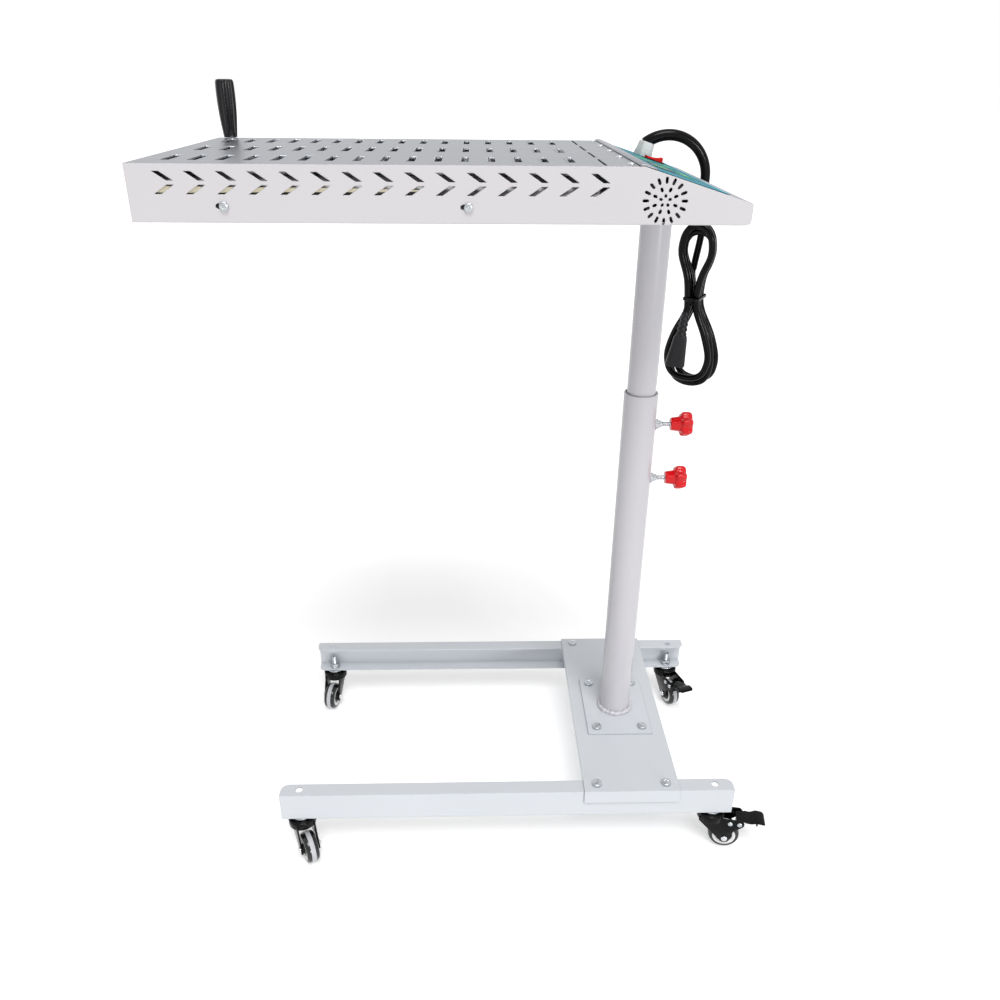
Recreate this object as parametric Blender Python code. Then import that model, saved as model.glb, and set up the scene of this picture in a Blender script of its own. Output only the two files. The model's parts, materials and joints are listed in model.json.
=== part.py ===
"""Flash dryer on a rolling stand: a long low quartz heater head on a telescopic post.

Metres, +Z up. X runs along the head towards the control box, Y runs away from the operator.
Everything is built round the post's axis at x = 0, y = 0 with the floor at z = 0. The last
step moves the whole stand so that the middle of its footprint is at the origin.
"""

import math

import bmesh
import bpy
import numpy as np
from mathutils import Matrix, Vector

# Clearances
GAP = 0.0003
CUT_OVER = 0.002
RUN_CLEAR = 0.0006

# Caster
CASTER_HEIGHT = 0.075
WHEEL_DIA = 0.050
WHEEL_WIDTH = 0.020
WHEEL_TRAIL = 0.0245
WHEEL_STEPS = 20
TREAD_DEPTH = 0.0042
TREAD_SHOULDER = 0.003
HUB_DIA = 0.015
HUB_STANDOUT = 0.0022
WEB_RECESS = 0.0012
AXLE_DIA = 0.006
AXLE_HEAD_DIA = 0.010
AXLE_HEAD_HEIGHT = 0.004
AXLE_STEPS = 8
FORK_SHEET = 0.0025
CROWN_DIA = 0.043
CROWN_SKIRT = 0.013
CROWN_STEPS = 16
CROWN_DROP = 0.004
LEG_EYE_DIA = 0.023
STEM_DIA = 0.010
STEM_RISE = 0.027
STEM_STEPS = 12
NUT_FLATS = 0.016
NUT_HEIGHT = 0.009
KINGPIN_NUT_FLATS = 0.015
KINGPIN_NUT_HEIGHT = 0.005
BEARING_DIA = 0.030
SWIVEL_NEAR_LEFT = -62.0
SWIVEL_NEAR_RIGHT = -10.0
SWIVEL_FAR_LEFT = -102.0
SWIVEL_FAR_RIGHT = -71.0

# Brake
BRAKE_PIN_X = 0.045
BRAKE_PIN_Z = 0.057
BRAKE_PIN_DIA = 0.004
BRAKE_RIVET_DIA = 0.0080
BRAKE_RIVET_HEIGHT = 0.0025
BRAKE_RIVET_PITCH = 0.0145
BRAKE_CHEEK = 0.0075
PEDAL_LENGTH = 0.040
PEDAL_WIDTH = 0.028
PEDAL_SHEET = 0.0026
PEDAL_WAVE = 0.0018
PEDAL_EYE_DIA = 0.010
PEDAL_EDGE = 0.006
PEDAL_RAISED = 14.0
SHOE_REACH = 0.014
SHOE_ANGLE = 7.6

# Base
RAIL_LENGTH = 0.708
RAIL_SPREAD = 0.396
RAIL_HEIGHT = 0.048
RAIL_FLANGE = 0.024
RAIL_SHEET = 0.002
RAIL_CORNER = 0.012
POST_TO_RAIL_END = 0.161
STEM_INSET_X = 0.0285
STEM_INSET_Y = 0.013
CROSS_WIDTH = 0.150
CROSS_SHEET = 0.0025
CROSS_END_LIP = 0.024
CROSS_SIDE_LIP = 0.010
CROSS_SCREW_PITCH = 0.109
CROSS_SCREW_DIA = 0.007
FOOT_WIDTH = 0.108
FOOT_DEPTH = 0.146
FOOT_SHEET = 0.003
FOOT_BOLT_PITCH_X = 0.077
FOOT_BOLT_PITCH_Y = 0.116
FOOT_BOLT_DIA = 0.007
PAN_HEAD_RATIO = 2.1
PAN_HEIGHT_RATIO = 0.62
SCREW_STEPS = 8

# Post
TUBE_DIA = 0.050
TUBE_WALL = 0.003
TUBE_RIM = 0.707
TUBE_STEPS = 24
WELD_LEG = 0.006
MAST_DIA = 0.042
MAST_WALL = 0.002
MAST_BOTTOM = 0.297
BOSS_DIA = 0.0155
BOSS_LENGTH = 0.0093
BOSS_STEPS = 12
KNOB_RIM_DROP = 0.050
KNOB_PITCH = 0.0875
CLAMP_DIA = 0.006
CLAMP_EXPOSED = 0.0131
KNOB_DIA = 0.038
KNOB_LOBES = 6
KNOB_LOBE_DEPTH = 0.0045
KNOB_LOBE_STEPS = 5
KNOB_HEAD = 0.016
KNOB_HUB = 0.0155
KNOB_HUB_DIA = 0.018
KNOB_HUB_WIDE = 0.022
KNOB_HUB_FLUTE = 0.0008
KNOB_THREAD = 0.012

# Heater head
HEAD_BOTTOM = 0.972
HEAD_HEIGHT = 0.061
HEAD_LENGTH = 0.685
HEAD_DEPTH = 0.392
HEAD_OVERHANG = 0.067
SLOPE_RUN = 0.124
END_HEIGHT = 0.023
END_CORNER = 0.006
CORNER_STEPS = 4
SKIN = 0.0012
RETURN_LIP = 0.012
SOCKET_DIA = 0.048
SOCKET_DROP = 0.006
SOCKET_RISE = 0.024
SOCKET_CAP = 0.003
SOCKET_FLANGE_DIA = 0.084
SOCKET_FLANGE = 0.003
FLOOR_LEFT = 0.078
BULKHEAD_X = -0.080

# Vents
CHEVRON_COUNT = 15
CHEVRON_FIRST_INSET = 0.0508
CHEVRON_LAST_TIP = -0.094
CHEVRON_SLANT = 0.0145
CHEVRON_WIDTH = 0.0075
CHEVRON_RISE = 0.0097
CHEVRON_SPLIT = 0.0042
CHEVRON_HEIGHT = 0.0415
SLOT_COLUMNS = 16
SLOT_ROWS = 3
SLOT_FIRST_INSET = 0.0315
SLOT_SIDE_INSET = 0.041
SLOT_LAST_X = -0.132
SLOT_WIDTH = 0.008
SLOT_LENGTH = 0.050
DASH_COUNT = 4
DASH_X = -0.098
DASH_WIDTH = 0.0035
DASH_SIDE_INSET = 0.010
DASH_SPACE = 0.020
ROSETTE_X = -0.032
ROSETTE_HEIGHT = 0.0256
ROSETTE_SLOT = 0.0032
ROSETTE_COUNTS = (16, 8, 5)
ROSETTE_OUTER = (0.0255, 0.0152, 0.0074)
ROSETTE_LENGTHS = (0.0076, 0.0054, 0.0042)
SLOT_END_STEPS = 3
ROSETTE_TURNS = (0.0, 22.5, 18.0)

# Side screws and cover rivets
SIDE_SCREW_INSETS = (0.102, 0.369)
SIDE_SCREW_HEIGHT = 0.0175
SIDE_SCREW_DIA = 0.0046
SIDE_SLOT_LENGTH = 0.0125
SIDE_SLOT_WIDTH = 0.006
RIVET_COUNT = 5
RIVET_SIDE_INSET = 0.024
RIVET_DIA = 0.007
RIVET_HEIGHT = 0.002

# Heater
TRAY_SHEET = 0.001
TRAY_TOP_DROP = 0.012
TRAY_END_MARGIN = 0.026
TRAY_SIDE_MARGIN = 0.026
TRAY_SPLAY = 0.014
TRAY_RIM = 0.009
QUARTZ_COUNT = 8
QUARTZ_SIDE_INSET = 0.0195
QUARTZ_DIA = 0.012
QUARTZ_STEPS = 8
QUARTZ_HEIGHT = 0.021
CAP_DIA = 0.016
CAP_LENGTH = 0.012
CAP_NECK_DIA = 0.009
CAP_NECK_LENGTH = 0.006
RACK_SHEET = 0.0015
RACK_INSET = 0.020
RACK_DROP = 0.034
RACK_FLANGE = 0.010

# Fan
FAN_SIZE = 0.040
FAN_DEPTH = 0.010
FAN_BORE = 0.037
FAN_STEPS = 16
FAN_HUB = 0.018
FAN_BLADES = 7
FAN_BLADE_SWEEP = 24.0
FAN_BLADE_SHEET = 0.0012
FAN_TIP_CLEAR = 0.0008
FAN_PLATE = 0.002
FAN_SPOKES = 4
FAN_SPOKE_WIDTH = 0.004

# Control panel
FILM_SHEET = 0.0005
FILM_TOP_INSET = 0.008
FILM_RUN = 0.096
FILM_SIDE_INSET = 0.010
CONTROL_ALONG = 0.0695
CONTROLLER_LENGTH = 0.072
CONTROLLER_WIDTH = 0.050
CONTROLLER_DEPTH = 0.018
CONTROLLER_INSET = 0.121
ROCKER_INSET = 0.091
ROCKER_LENGTH = 0.030
ROCKER_WIDTH = 0.022
ROCKER_OPEN_LENGTH = 0.0255
ROCKER_OPEN_WIDTH = 0.0180
ROCKER_BODY_LENGTH = 0.0280
ROCKER_BODY_WIDTH = 0.0200
ROCKER_RIM = 0.0022
ROCKER_BODY = 0.012
ROCKER_FLOOR = 0.003
ROCKER_KEY_HALF = 0.0118
ROCKER_KEY_TOP = 0.0056
ROCKER_KEY_DIP = 0.0020
ROCKER_KEY_BELOW = 0.003
ROCKER_TILT = 8.0

# Gland
GLAND_INSET = 0.026
GLAND_ALONG = 0.0655
GLAND_HEX = 0.0245
GLAND_HEX_HEIGHT = 0.007
GLAND_DOME_DIA = 0.0225
GLAND_TIP_DIA = 0.0205
GLAND_HEIGHT = 0.0205
GLAND_THREAD_DIA = 0.018
GLAND_NUT_HEIGHT = 0.005
GLAND_STEPS = 12

# Lead
LEAD_DIA = 0.0105
SLEEVE_DIA = 0.017
SLEEVE_TIP_DIA = 0.0140
SLEEVE_RADIUS = 0.059
SLEEVE_START = 33.0
SLEEVE_STRAIGHT = 0.012
SLEEVE_RINGS = 16
SLEEVE_SIDES = 12
DROP_LENGTH = 0.030
DROP_POINTS = 9
HANK_TURNS = 3
HANK_POINTS = 24
HANK_X = 0.103
HANK_TURN = 30.0
HANK_LEAN = 0.045
HANK_TOP = 0.922
HANK_BOTTOM = 0.673
HANK_WAIST = 0.8095
HANK_TOP_HALF = 0.025
HANK_LOW_HALF = 0.038
HANK_WAIST_HALF = 0.0064
HANK_WAIST_SPREAD = 0.055
HANK_LAYER = 0.0114
HANK_ROUND = 2.05
HANK_CROWD = 0.20
HANK_RISES = (0.0, -0.004, -0.012, -0.002)
HANK_SAGS = (0.0, 0.006, -0.005, 0.0)
HANK_FAN_SHARES = (-0.045, 0.0, 0.045, 0.045)
HANK_LEAD_IN = 0.090
HANK_LEAD_POINTS = 9
TIE_BAND = 0.004
TIE_SHEET = 0.0012
TIE_CORNER = 0.007

# Plug
PLUG_BODY = 0.052
PLUG_WIDTH = 0.031
PLUG_WIDTH_TOP = 0.021
PLUG_THICK = 0.0175
PLUG_THICK_TOP = 0.0145
PLUG_CORNER = 0.003
PLUG_TURN = 12.0
PLUG_LEAN = 6.0
PLUG_TOP = 0.789
PLUG_RELIEF = 0.040
PLUG_RELIEF_DIA = 0.0125
PLUG_RELIEF_WIDE = 0.0172
PLUG_RIBS = 5
PLUG_RIB_DEPTH = 0.0009
PLUG_STEPS = 12
PLUG_PIN_LENGTH = 0.017
PLUG_PIN_WIDTH = 0.0063
PLUG_PIN_SHEET = 0.0016
PLUG_PIN_SPREAD = 0.0128
PLUG_PIN_RISE = 0.014

# Handle
HANDLE_INSET_X = 0.0205
HANDLE_INSET_Y = 0.013
HANDLE_LENGTH = 0.076
HANDLE_DIA = 0.0268
HANDLE_FOOT_DIA = 0.0194
HANDLE_TOP_DIA = 0.020
HANDLE_FLUTES = 8
HANDLE_FLUTE_DEPTH = 0.0009
HANDLE_FLUTE_STEPS = 3
HANDLE_BOLT_DIA = 0.007
HANDLE_BOLT_RISE = 0.058
HANDLE_NUT_FLATS = 0.012
HANDLE_NUT_HEIGHT = 0.005
HANDLE_COLLAR = 0.0015

# Places worked out from the sizes above
RAIL_BOTTOM = CASTER_HEIGHT
RAIL_TOP = RAIL_BOTTOM + RAIL_HEIGHT
CROSS_TOP = RAIL_TOP + GAP + CROSS_SHEET
FOOT_TOP = CROSS_TOP + GAP + FOOT_SHEET
HEAD_TOP = HEAD_BOTTOM + HEAD_HEIGHT
HEAD_RIGHT = HEAD_OVERHANG
HEAD_LEFT = HEAD_OVERHANG - HEAD_LENGTH
SLOPE_TOP_X = HEAD_RIGHT - SLOPE_RUN
SLOPE_DROP = HEAD_HEIGHT - END_HEIGHT
SLOPE_ANGLE = math.atan2(SLOPE_DROP, SLOPE_RUN)
HEAD_HALF = HEAD_DEPTH / 2
INNER_HALF = HEAD_HALF - SKIN - GAP
CHEVRON_PITCH = (CHEVRON_LAST_TIP - HEAD_LEFT - CHEVRON_FIRST_INSET) / (CHEVRON_COUNT - 1)
SLOT_PITCH_X = (SLOT_LAST_X - HEAD_LEFT - SLOT_FIRST_INSET) / (SLOT_COLUMNS - 1)
SLOT_PITCH_Y = 2 * (HEAD_HALF - SLOT_SIDE_INSET - SLOT_LENGTH / 2) / (SLOT_ROWS - 1)
DASH_ROW = 2 * (HEAD_HALF - DASH_SIDE_INSET)
DASH_LENGTH = (DASH_ROW - DASH_SPACE * (DASH_COUNT - 1)) / DASH_COUNT
SIDE_SCREW_XS = tuple(HEAD_LEFT + inset for inset in SIDE_SCREW_INSETS)
RIVET_PITCH = 2 * (HEAD_HALF - RIVET_SIDE_INSET) / (RIVET_COUNT - 1)
CONTROLLER_Y = CONTROLLER_INSET - HEAD_HALF
ROCKER_Y = HEAD_HALF - ROCKER_INSET
GLAND_Y = HEAD_HALF - GLAND_INSET
HANDLE_X = HEAD_LEFT + HANDLE_INSET_X
HANDLE_Y = HEAD_HALF - HANDLE_INSET_Y
STEM_XS = (
    POST_TO_RAIL_END - RAIL_LENGTH + STEM_INSET_X,
    POST_TO_RAIL_END - STEM_INSET_X,
)
STEM_Y = RAIL_SPREAD / 2 - STEM_INSET_Y
HUB_HALF = WHEEL_WIDTH / 2 + HUB_STANDOUT
KNOB_HEIGHT_UPPER = TUBE_RIM - KNOB_RIM_DROP
KNOB_HEIGHT_LOWER = KNOB_HEIGHT_UPPER - KNOB_PITCH
LEG_INSIDE = HUB_HALF + GAP
LEG_OUTSIDE = LEG_INSIDE + FORK_SHEET
CROWN_TOP = CASTER_HEIGHT - CROWN_DROP
CROWN_LOW = CROWN_TOP - CROWN_SKIRT


def make_material(name, color, roughness, metallic):
    """A Principled material in one plain colour."""
    material = bpy.data.materials.new(name)
    material.use_nodes = True
    shader = material.node_tree.nodes["Principled BSDF"]
    shader.inputs["Base Color"].default_value = (*color, 1.0)
    shader.inputs["Roughness"].default_value = roughness
    shader.inputs["Metallic"].default_value = metallic
    material.diffuse_color = (*color, 1.0)
    return material


def clear_scene():
    for old in list(bpy.data.objects):
        bpy.data.objects.remove(old)


clear_scene()

WHITE_PAINT = make_material("white_paint", (0.80, 0.80, 0.81), 0.35, 0.0)
TUBE_PAINT = make_material("tube_paint", (0.74, 0.73, 0.72), 0.35, 0.0)
SATIN_STEEL = make_material("satin_steel", (0.52, 0.53, 0.55), 0.35, 1.0)
ZINC = make_material("zinc_plate", (0.66, 0.67, 0.68), 0.25, 1.0)
CHROME = make_material("chrome", (0.75, 0.75, 0.76), 0.10, 1.0)
BLACK_STEEL = make_material("black_steel", (0.045, 0.045, 0.05), 0.35, 0.3)
BLACK_PLASTIC = make_material("black_plastic", (0.03, 0.03, 0.032), 0.40, 0.0)
GREY_TREAD = make_material("grey_tread", (0.42, 0.42, 0.42), 0.30, 0.0)
RED_PLASTIC = make_material("red_plastic", (0.62, 0.03, 0.04), 0.30, 0.0)
RUBBER = make_material("lead_rubber", (0.035, 0.035, 0.038), 0.55, 0.0)
GLAND_NYLON = make_material("gland_nylon", (0.72, 0.78, 0.75), 0.35, 0.0)
QUARTZ = make_material("quartz", (0.80, 0.82, 0.84), 0.08, 0.0)
REFLECTOR = make_material("reflector", (0.70, 0.70, 0.71), 0.18, 1.0)
PANEL_FILM = make_material("panel_film", (0.12, 0.48, 0.56), 0.25, 0.0)


def make_empty(name, parent=None, place=(0, 0, 0), turn=None):
    """An empty on a joint's axis, or the frame that carries several pieces."""
    empty = bpy.data.objects.new(name, None)
    bpy.context.scene.collection.objects.link(empty)
    empty.parent = parent
    empty.location = place
    if turn is not None:
        empty.rotation_euler = turn
    return empty


def add_object(name, bm, material, parent, smooth=None):
    """Make a named object of a bmesh, with its faces pointing out."""
    bmesh.ops.recalc_face_normals(bm, faces=bm.faces)
    mesh = bpy.data.meshes.new(name)
    bm.to_mesh(mesh)
    bm.free()
    if smooth is not None:
        mesh.shade_smooth()
        mesh.set_sharp_from_angle(angle=math.radians(smooth))
    thing = bpy.data.objects.new(name, mesh)
    mesh.materials.append(material)
    bpy.context.scene.collection.objects.link(thing)
    thing.parent = parent
    return thing


def add_cutter(name, bm, parent):
    """A hidden body that a Boolean takes away from its neighbours."""
    cutter = add_object(name, bm, BLACK_PLASTIC, parent)
    cutter.hide_render = True
    cutter.display_type = "WIRE"
    return cutter


def cut(thing, cutter):
    step = thing.modifiers.new("cut_" + cutter.name, "BOOLEAN")
    step.operation = "DIFFERENCE"
    step.solver = "EXACT"
    step.object = cutter


def join_body(thing, body):
    step = thing.modifiers.new("join_" + body.name, "BOOLEAN")
    step.operation = "UNION"
    step.solver = "EXACT"
    step.object = body


def loft(bm, loops, closed=False):
    """Bridge loops of points into a body: with end caps, or round into a ring."""
    rings = [[bm.verts.new(p) for p in loop] for loop in loops]
    count = len(rings[0])
    pairs = list(zip(rings, rings[1:]))
    if closed:
        pairs.append((rings[-1], rings[0]))
    for low, high in pairs:
        for i in range(count):
            j = (i + 1) % count
            bm.faces.new((low[i], low[j], high[j], high[i]))
    if not closed:
        bm.faces.new(rings[0])
        bm.faces.new(rings[-1])


def circle(radius, steps, height=0, turn=0.0):
    """Points round the Z axis."""
    angles = [math.radians(turn) + math.tau * i / steps for i in range(steps)]
    return [(radius * math.cos(a), radius * math.sin(a), height) for a in angles]


def hexagon(flats, steps, height):
    """Points round a hexagon across its flats, steps of them, a corner every sixth of a turn."""
    sixth = math.tau / 6
    points = []
    for i in range(steps):
        a = math.tau * i / steps
        away = (a % sixth) - sixth / 2
        radius = flats / 2 / math.cos(away)
        points.append((radius * math.cos(a), radius * math.sin(a), height))
    return points


def lobed(radius, depth, lobes, steps, height):
    """Points round a wavy circle: the radius falls by the depth between lobes."""
    points = []
    count = lobes * steps
    for i in range(count):
        a = math.tau * i / count
        r = radius - depth * (0.5 - 0.5 * math.cos(lobes * a))
        points.append((r * math.cos(a), r * math.sin(a), height))
    return points


def rounded_rectangle(half_x, half_y, corner, steps, height=0):
    """Points round a rectangle with its corners rounded."""
    points = []
    centres = (
        (half_x - corner, half_y - corner),
        (corner - half_x, half_y - corner),
        (corner - half_x, corner - half_y),
        (half_x - corner, corner - half_y),
    )
    for quarter, (cx, cy) in enumerate(centres):
        for i in range(steps + 1):
            a = math.pi / 2 * (quarter + i / steps)
            points.append(
                (cx + corner * math.cos(a), cy + corner * math.sin(a), height)
            )
    return points


def turned(bm, profile, steps, hollow=False, turn=0.0):
    """Turn a profile of (radius, height) round the Z axis, as a solid or as a ring."""
    loft(bm, [circle(r, steps, h, turn) for r, h in profile], closed=hollow)


def turned_body(profile, steps, hollow=False, turn=0.0):
    bm = bmesh.new()
    turned(bm, profile, steps, hollow, turn)
    return bm


def block(bm, low, high):
    """A plain box between two corners."""
    loft(
        bm,
        [
            [(low[0], low[1], z), (high[0], low[1], z), (high[0], high[1], z), (low[0], high[1], z)]
            for z in (low[2], high[2])
        ],
    )


def prism(bm, outline, low, high, plane="XZ"):
    """Extrude an outline: an XZ one along Y, an XY one along Z."""
    if plane == "XZ":
        loops = [[(a, along, b) for a, b in outline] for along in (low, high)]
    else:
        loops = [[(a, b, along) for a, b in outline] for along in (low, high)]
    loft(bm, loops)


def move(bm, matrix, start=0):
    """Place the verts that were added since start."""
    bm.verts.ensure_lookup_table()
    bmesh.ops.transform(bm, matrix=matrix, verts=bm.verts[start:])


def arc_points(centre, radius, start, end, steps):
    """Points along an arc in a plane, angles in degrees."""
    points = []
    for i in range(steps + 1):
        a = math.radians(start + (end - start) * i / steps)
        points.append(
            (centre[0] + radius * math.cos(a), centre[1] + radius * math.sin(a))
        )
    return points


def offset_path(path, distance):
    """The path moved sideways to its right by a distance, with mitred corners."""
    normals = []
    for a, b in zip(path, path[1:]):
        run = Vector((b[0] - a[0], b[1] - a[1])).normalized()
        normals.append(Vector((run.y, -run.x)))
    moved = []
    for i, point in enumerate(path):
        before = normals[max(i - 1, 0)]
        after = normals[min(i, len(normals) - 1)]
        middle = (before + after).normalized()
        reach = distance / middle.dot(after)
        moved.append((point[0] + middle.x * reach, point[1] + middle.y * reach))
    return moved


def folded_sheet(path, sheet):
    """The outline of a folded sheet whose outer face follows the path."""
    return list(path) + offset_path(path, sheet)[::-1]


def pan_screws(places, diameter, shank, turn=None):
    """Pan-head screws as one operand: each head sits on z = 0 with its shank below."""
    bm = bmesh.new()
    head = diameter * PAN_HEAD_RATIO / 2
    height = diameter * PAN_HEIGHT_RATIO
    for place in places:
        start = len(bm.verts)
        turned(
            bm,
            [
                (diameter / 2, -shank),
                (diameter / 2, -GAP),
                (head, -GAP),
                (head, height / 2),
                (head * 0.62, height),
            ],
            SCREW_STEPS,
        )
        matrix = Matrix.Translation(place)
        if turn is not None:
            matrix = matrix @ turn
        move(bm, matrix, start)
    return bm


stand = make_empty("stand")


# Base: two folded channels, a cross plate over them and the post's flange


def make_rail(name, side):
    """A folded C channel, open towards the middle, with rounded flange ends."""
    outer = side * RAIL_SPREAD / 2
    inner = outer - side * RAIL_SHEET
    left = POST_TO_RAIL_END - RAIL_LENGTH
    ends = []
    for i in range(CORNER_STEPS + 1):
        a = math.pi / 2 * i / CORNER_STEPS
        ends.append(
            (RAIL_CORNER * (1 - math.cos(a)), RAIL_CORNER * (1 - math.sin(a)))
        )
    stations = [(left + x, short) for x, short in ends]
    stations += [(left + RAIL_LENGTH - x, short) for x, short in reversed(ends)]
    loops = []
    for x, short in stations:
        tip = outer - side * (RAIL_FLANGE - short)
        loops.append(
            [
                (x, outer, RAIL_BOTTOM),
                (x, tip, RAIL_BOTTOM),
                (x, tip, RAIL_BOTTOM + RAIL_SHEET),
                (x, inner, RAIL_BOTTOM + RAIL_SHEET),
                (x, inner, RAIL_TOP - RAIL_SHEET),
                (x, tip, RAIL_TOP - RAIL_SHEET),
                (x, tip, RAIL_TOP),
                (x, outer, RAIL_TOP),
            ]
        )
    bm = bmesh.new()
    loft(bm, loops)
    rail = add_object(name, bm, WHITE_PAINT, stand)
    holes = bmesh.new()
    low = RAIL_BOTTOM - CUT_OVER
    high = RAIL_TOP + CUT_OVER
    for x in STEM_XS:
        start = len(holes.verts)
        radius = STEM_DIA / 2 + RUN_CLEAR
        turned(holes, [(radius, low), (radius, high)], STEM_STEPS)
        move(holes, Matrix.Translation((x, side * STEM_Y, 0)), start)
    for end in (-1, 1):
        start = len(holes.verts)
        radius = CROSS_SCREW_DIA / 2 + RUN_CLEAR
        turned(holes, [(radius, RAIL_TOP - RAIL_HEIGHT / 2), (radius, high)], SCREW_STEPS)
        place = (end * CROSS_SCREW_PITCH / 2, side * STEM_Y, 0)
        move(holes, Matrix.Translation(place), start)
    cut(rail, add_cutter(name + "_holes", holes, stand))
    return rail


def screw_places(pitch_x, pitch_y, height):
    return [
        (sx * pitch_x / 2, sy * pitch_y / 2, height) for sx in (-1, 1) for sy in (-1, 1)
    ]


def make_cross_plate():
    """A plate across both rails with end lips over their webs and lips down its sides."""
    half_x = CROSS_WIDTH / 2
    half_y = RAIL_SPREAD / 2 + GAP + CROSS_SHEET
    low = RAIL_TOP + GAP
    lip = low + CROSS_SHEET - CROSS_END_LIP
    side_y = RAIL_SPREAD / 2 - RAIL_FLANGE - RUN_CLEAR
    ends = folded_sheet(
        [(-half_y, lip), (-half_y, CROSS_TOP), (half_y, CROSS_TOP), (half_y, lip)],
        CROSS_SHEET,
    )
    bm = bmesh.new()
    loft(bm, [[(x, y, z) for y, z in ends] for x in (-half_x, half_x)])
    plate = add_object("cross_plate", bm, WHITE_PAINT, stand)
    lips = bmesh.new()
    for side in (-1, 1):
        a = side * half_x
        b = side * (half_x - CROSS_SHEET)
        low_corner = (min(a, b), -side_y, CROSS_TOP - CROSS_SIDE_LIP)
        block(lips, low_corner, (max(a, b), side_y, CROSS_TOP - CROSS_SHEET / 2))
    side_lips = add_cutter("cross_side_lips", lips, stand)
    join_body(plate, side_lips)
    holes = bmesh.new()
    for place in screw_places(FOOT_BOLT_PITCH_X, FOOT_BOLT_PITCH_Y, 0):
        start = len(holes.verts)
        radius = FOOT_BOLT_DIA / 2 + RUN_CLEAR
        turned(holes, [(radius, low - CUT_OVER), (radius, CROSS_TOP + CUT_OVER)], SCREW_STEPS)
        move(holes, Matrix.Translation(place), start)
    cut(plate, add_cutter("cross_plate_holes", holes, stand))
    screws = pan_screws(
        screw_places(CROSS_SCREW_PITCH, 2 * STEM_Y, CROSS_TOP),
        CROSS_SCREW_DIA,
        CROSS_SHEET + RAIL_SHEET + FOOT_SHEET,
    )
    join_body(plate, add_cutter("plate_screws", screws, stand))


def make_foot():
    """The post's square flange, bolted down on the cross plate."""
    bm = bmesh.new()
    low = CROSS_TOP + GAP
    block(bm, (-FOOT_WIDTH / 2, -FOOT_DEPTH / 2, low), (FOOT_WIDTH / 2, FOOT_DEPTH / 2, FOOT_TOP))
    foot = add_object("post_flange", bm, WHITE_PAINT, stand)
    bolts = pan_screws(
        screw_places(FOOT_BOLT_PITCH_X, FOOT_BOLT_PITCH_Y, FOOT_TOP),
        FOOT_BOLT_DIA,
        FOOT_SHEET + CROSS_SHEET + 2 * FOOT_SHEET,
    )
    join_body(foot, add_cutter("flange_bolts", bolts, stand))


# Casters


def make_stem(tag, x, y):
    """A threaded stem: its nut on the rail's flange, a bearing disc and the kingpin's nut below."""
    seat = RAIL_BOTTOM - GAP
    on_flange = RAIL_BOTTOM + RAIL_SHEET + GAP
    under_crown = CROWN_TOP - FORK_SHEET - GAP
    pin = STEM_DIA / 2
    loops = [
        hexagon(KINGPIN_NUT_FLATS, STEM_STEPS, under_crown - KINGPIN_NUT_HEIGHT),
        hexagon(KINGPIN_NUT_FLATS, STEM_STEPS, under_crown),
        circle(pin, STEM_STEPS, under_crown),
        circle(pin, STEM_STEPS, CROWN_TOP + GAP),
        circle(BEARING_DIA / 2, STEM_STEPS, CROWN_TOP + GAP),
        circle(BEARING_DIA / 2, STEM_STEPS, seat),
        circle(pin, STEM_STEPS, seat),
        circle(pin, STEM_STEPS, on_flange),
        hexagon(NUT_FLATS, STEM_STEPS, on_flange),
        hexagon(NUT_FLATS, STEM_STEPS, on_flange + NUT_HEIGHT),
        circle(pin, STEM_STEPS, on_flange + NUT_HEIGHT),
        circle(pin, STEM_STEPS, RAIL_BOTTOM + STEM_RISE),
    ]
    bm = bmesh.new()
    loft(bm, loops)
    move(bm, Matrix.Translation((x, y, 0)))
    add_object("caster_stem_" + tag, bm, ZINC, stand, smooth=40)


def leg_outline(braked):
    """Side view of a fork cheek: wide at the crown, swept back to a round eye at the axle."""
    eye = LEG_EYE_DIA / 2
    axle = (WHEEL_TRAIL, WHEEL_DIA / 2)
    half = CROWN_DIA / 2 - FORK_SHEET
    top = CROWN_LOW + CROWN_SKIRT / 2
    outline = [(-half, top), (-half, CROWN_LOW)]
    outline += arc_points(axle, eye, 210, 330, CORNER_STEPS)
    if braked:
        right = BRAKE_PIN_X + BRAKE_CHEEK
        outline += [
            (right - BRAKE_CHEEK * 0.6, BRAKE_PIN_Z - BRAKE_CHEEK),
            (right, BRAKE_PIN_Z - BRAKE_CHEEK * 0.4),
            (right, BRAKE_PIN_Z + BRAKE_CHEEK * 0.4),
            (right - BRAKE_CHEEK * 0.6, top),
        ]
    else:
        outline += [(half, CROWN_LOW), (half, top)]
    return outline


def sideways(radius, steps, low, high):
    """A round bar along Y, from low to high."""
    bm = bmesh.new()
    turned(bm, [(radius, low), (radius, high)], steps)
    move(bm, Matrix.Rotation(-math.pi / 2, 4, "X"))
    return bm


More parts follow.
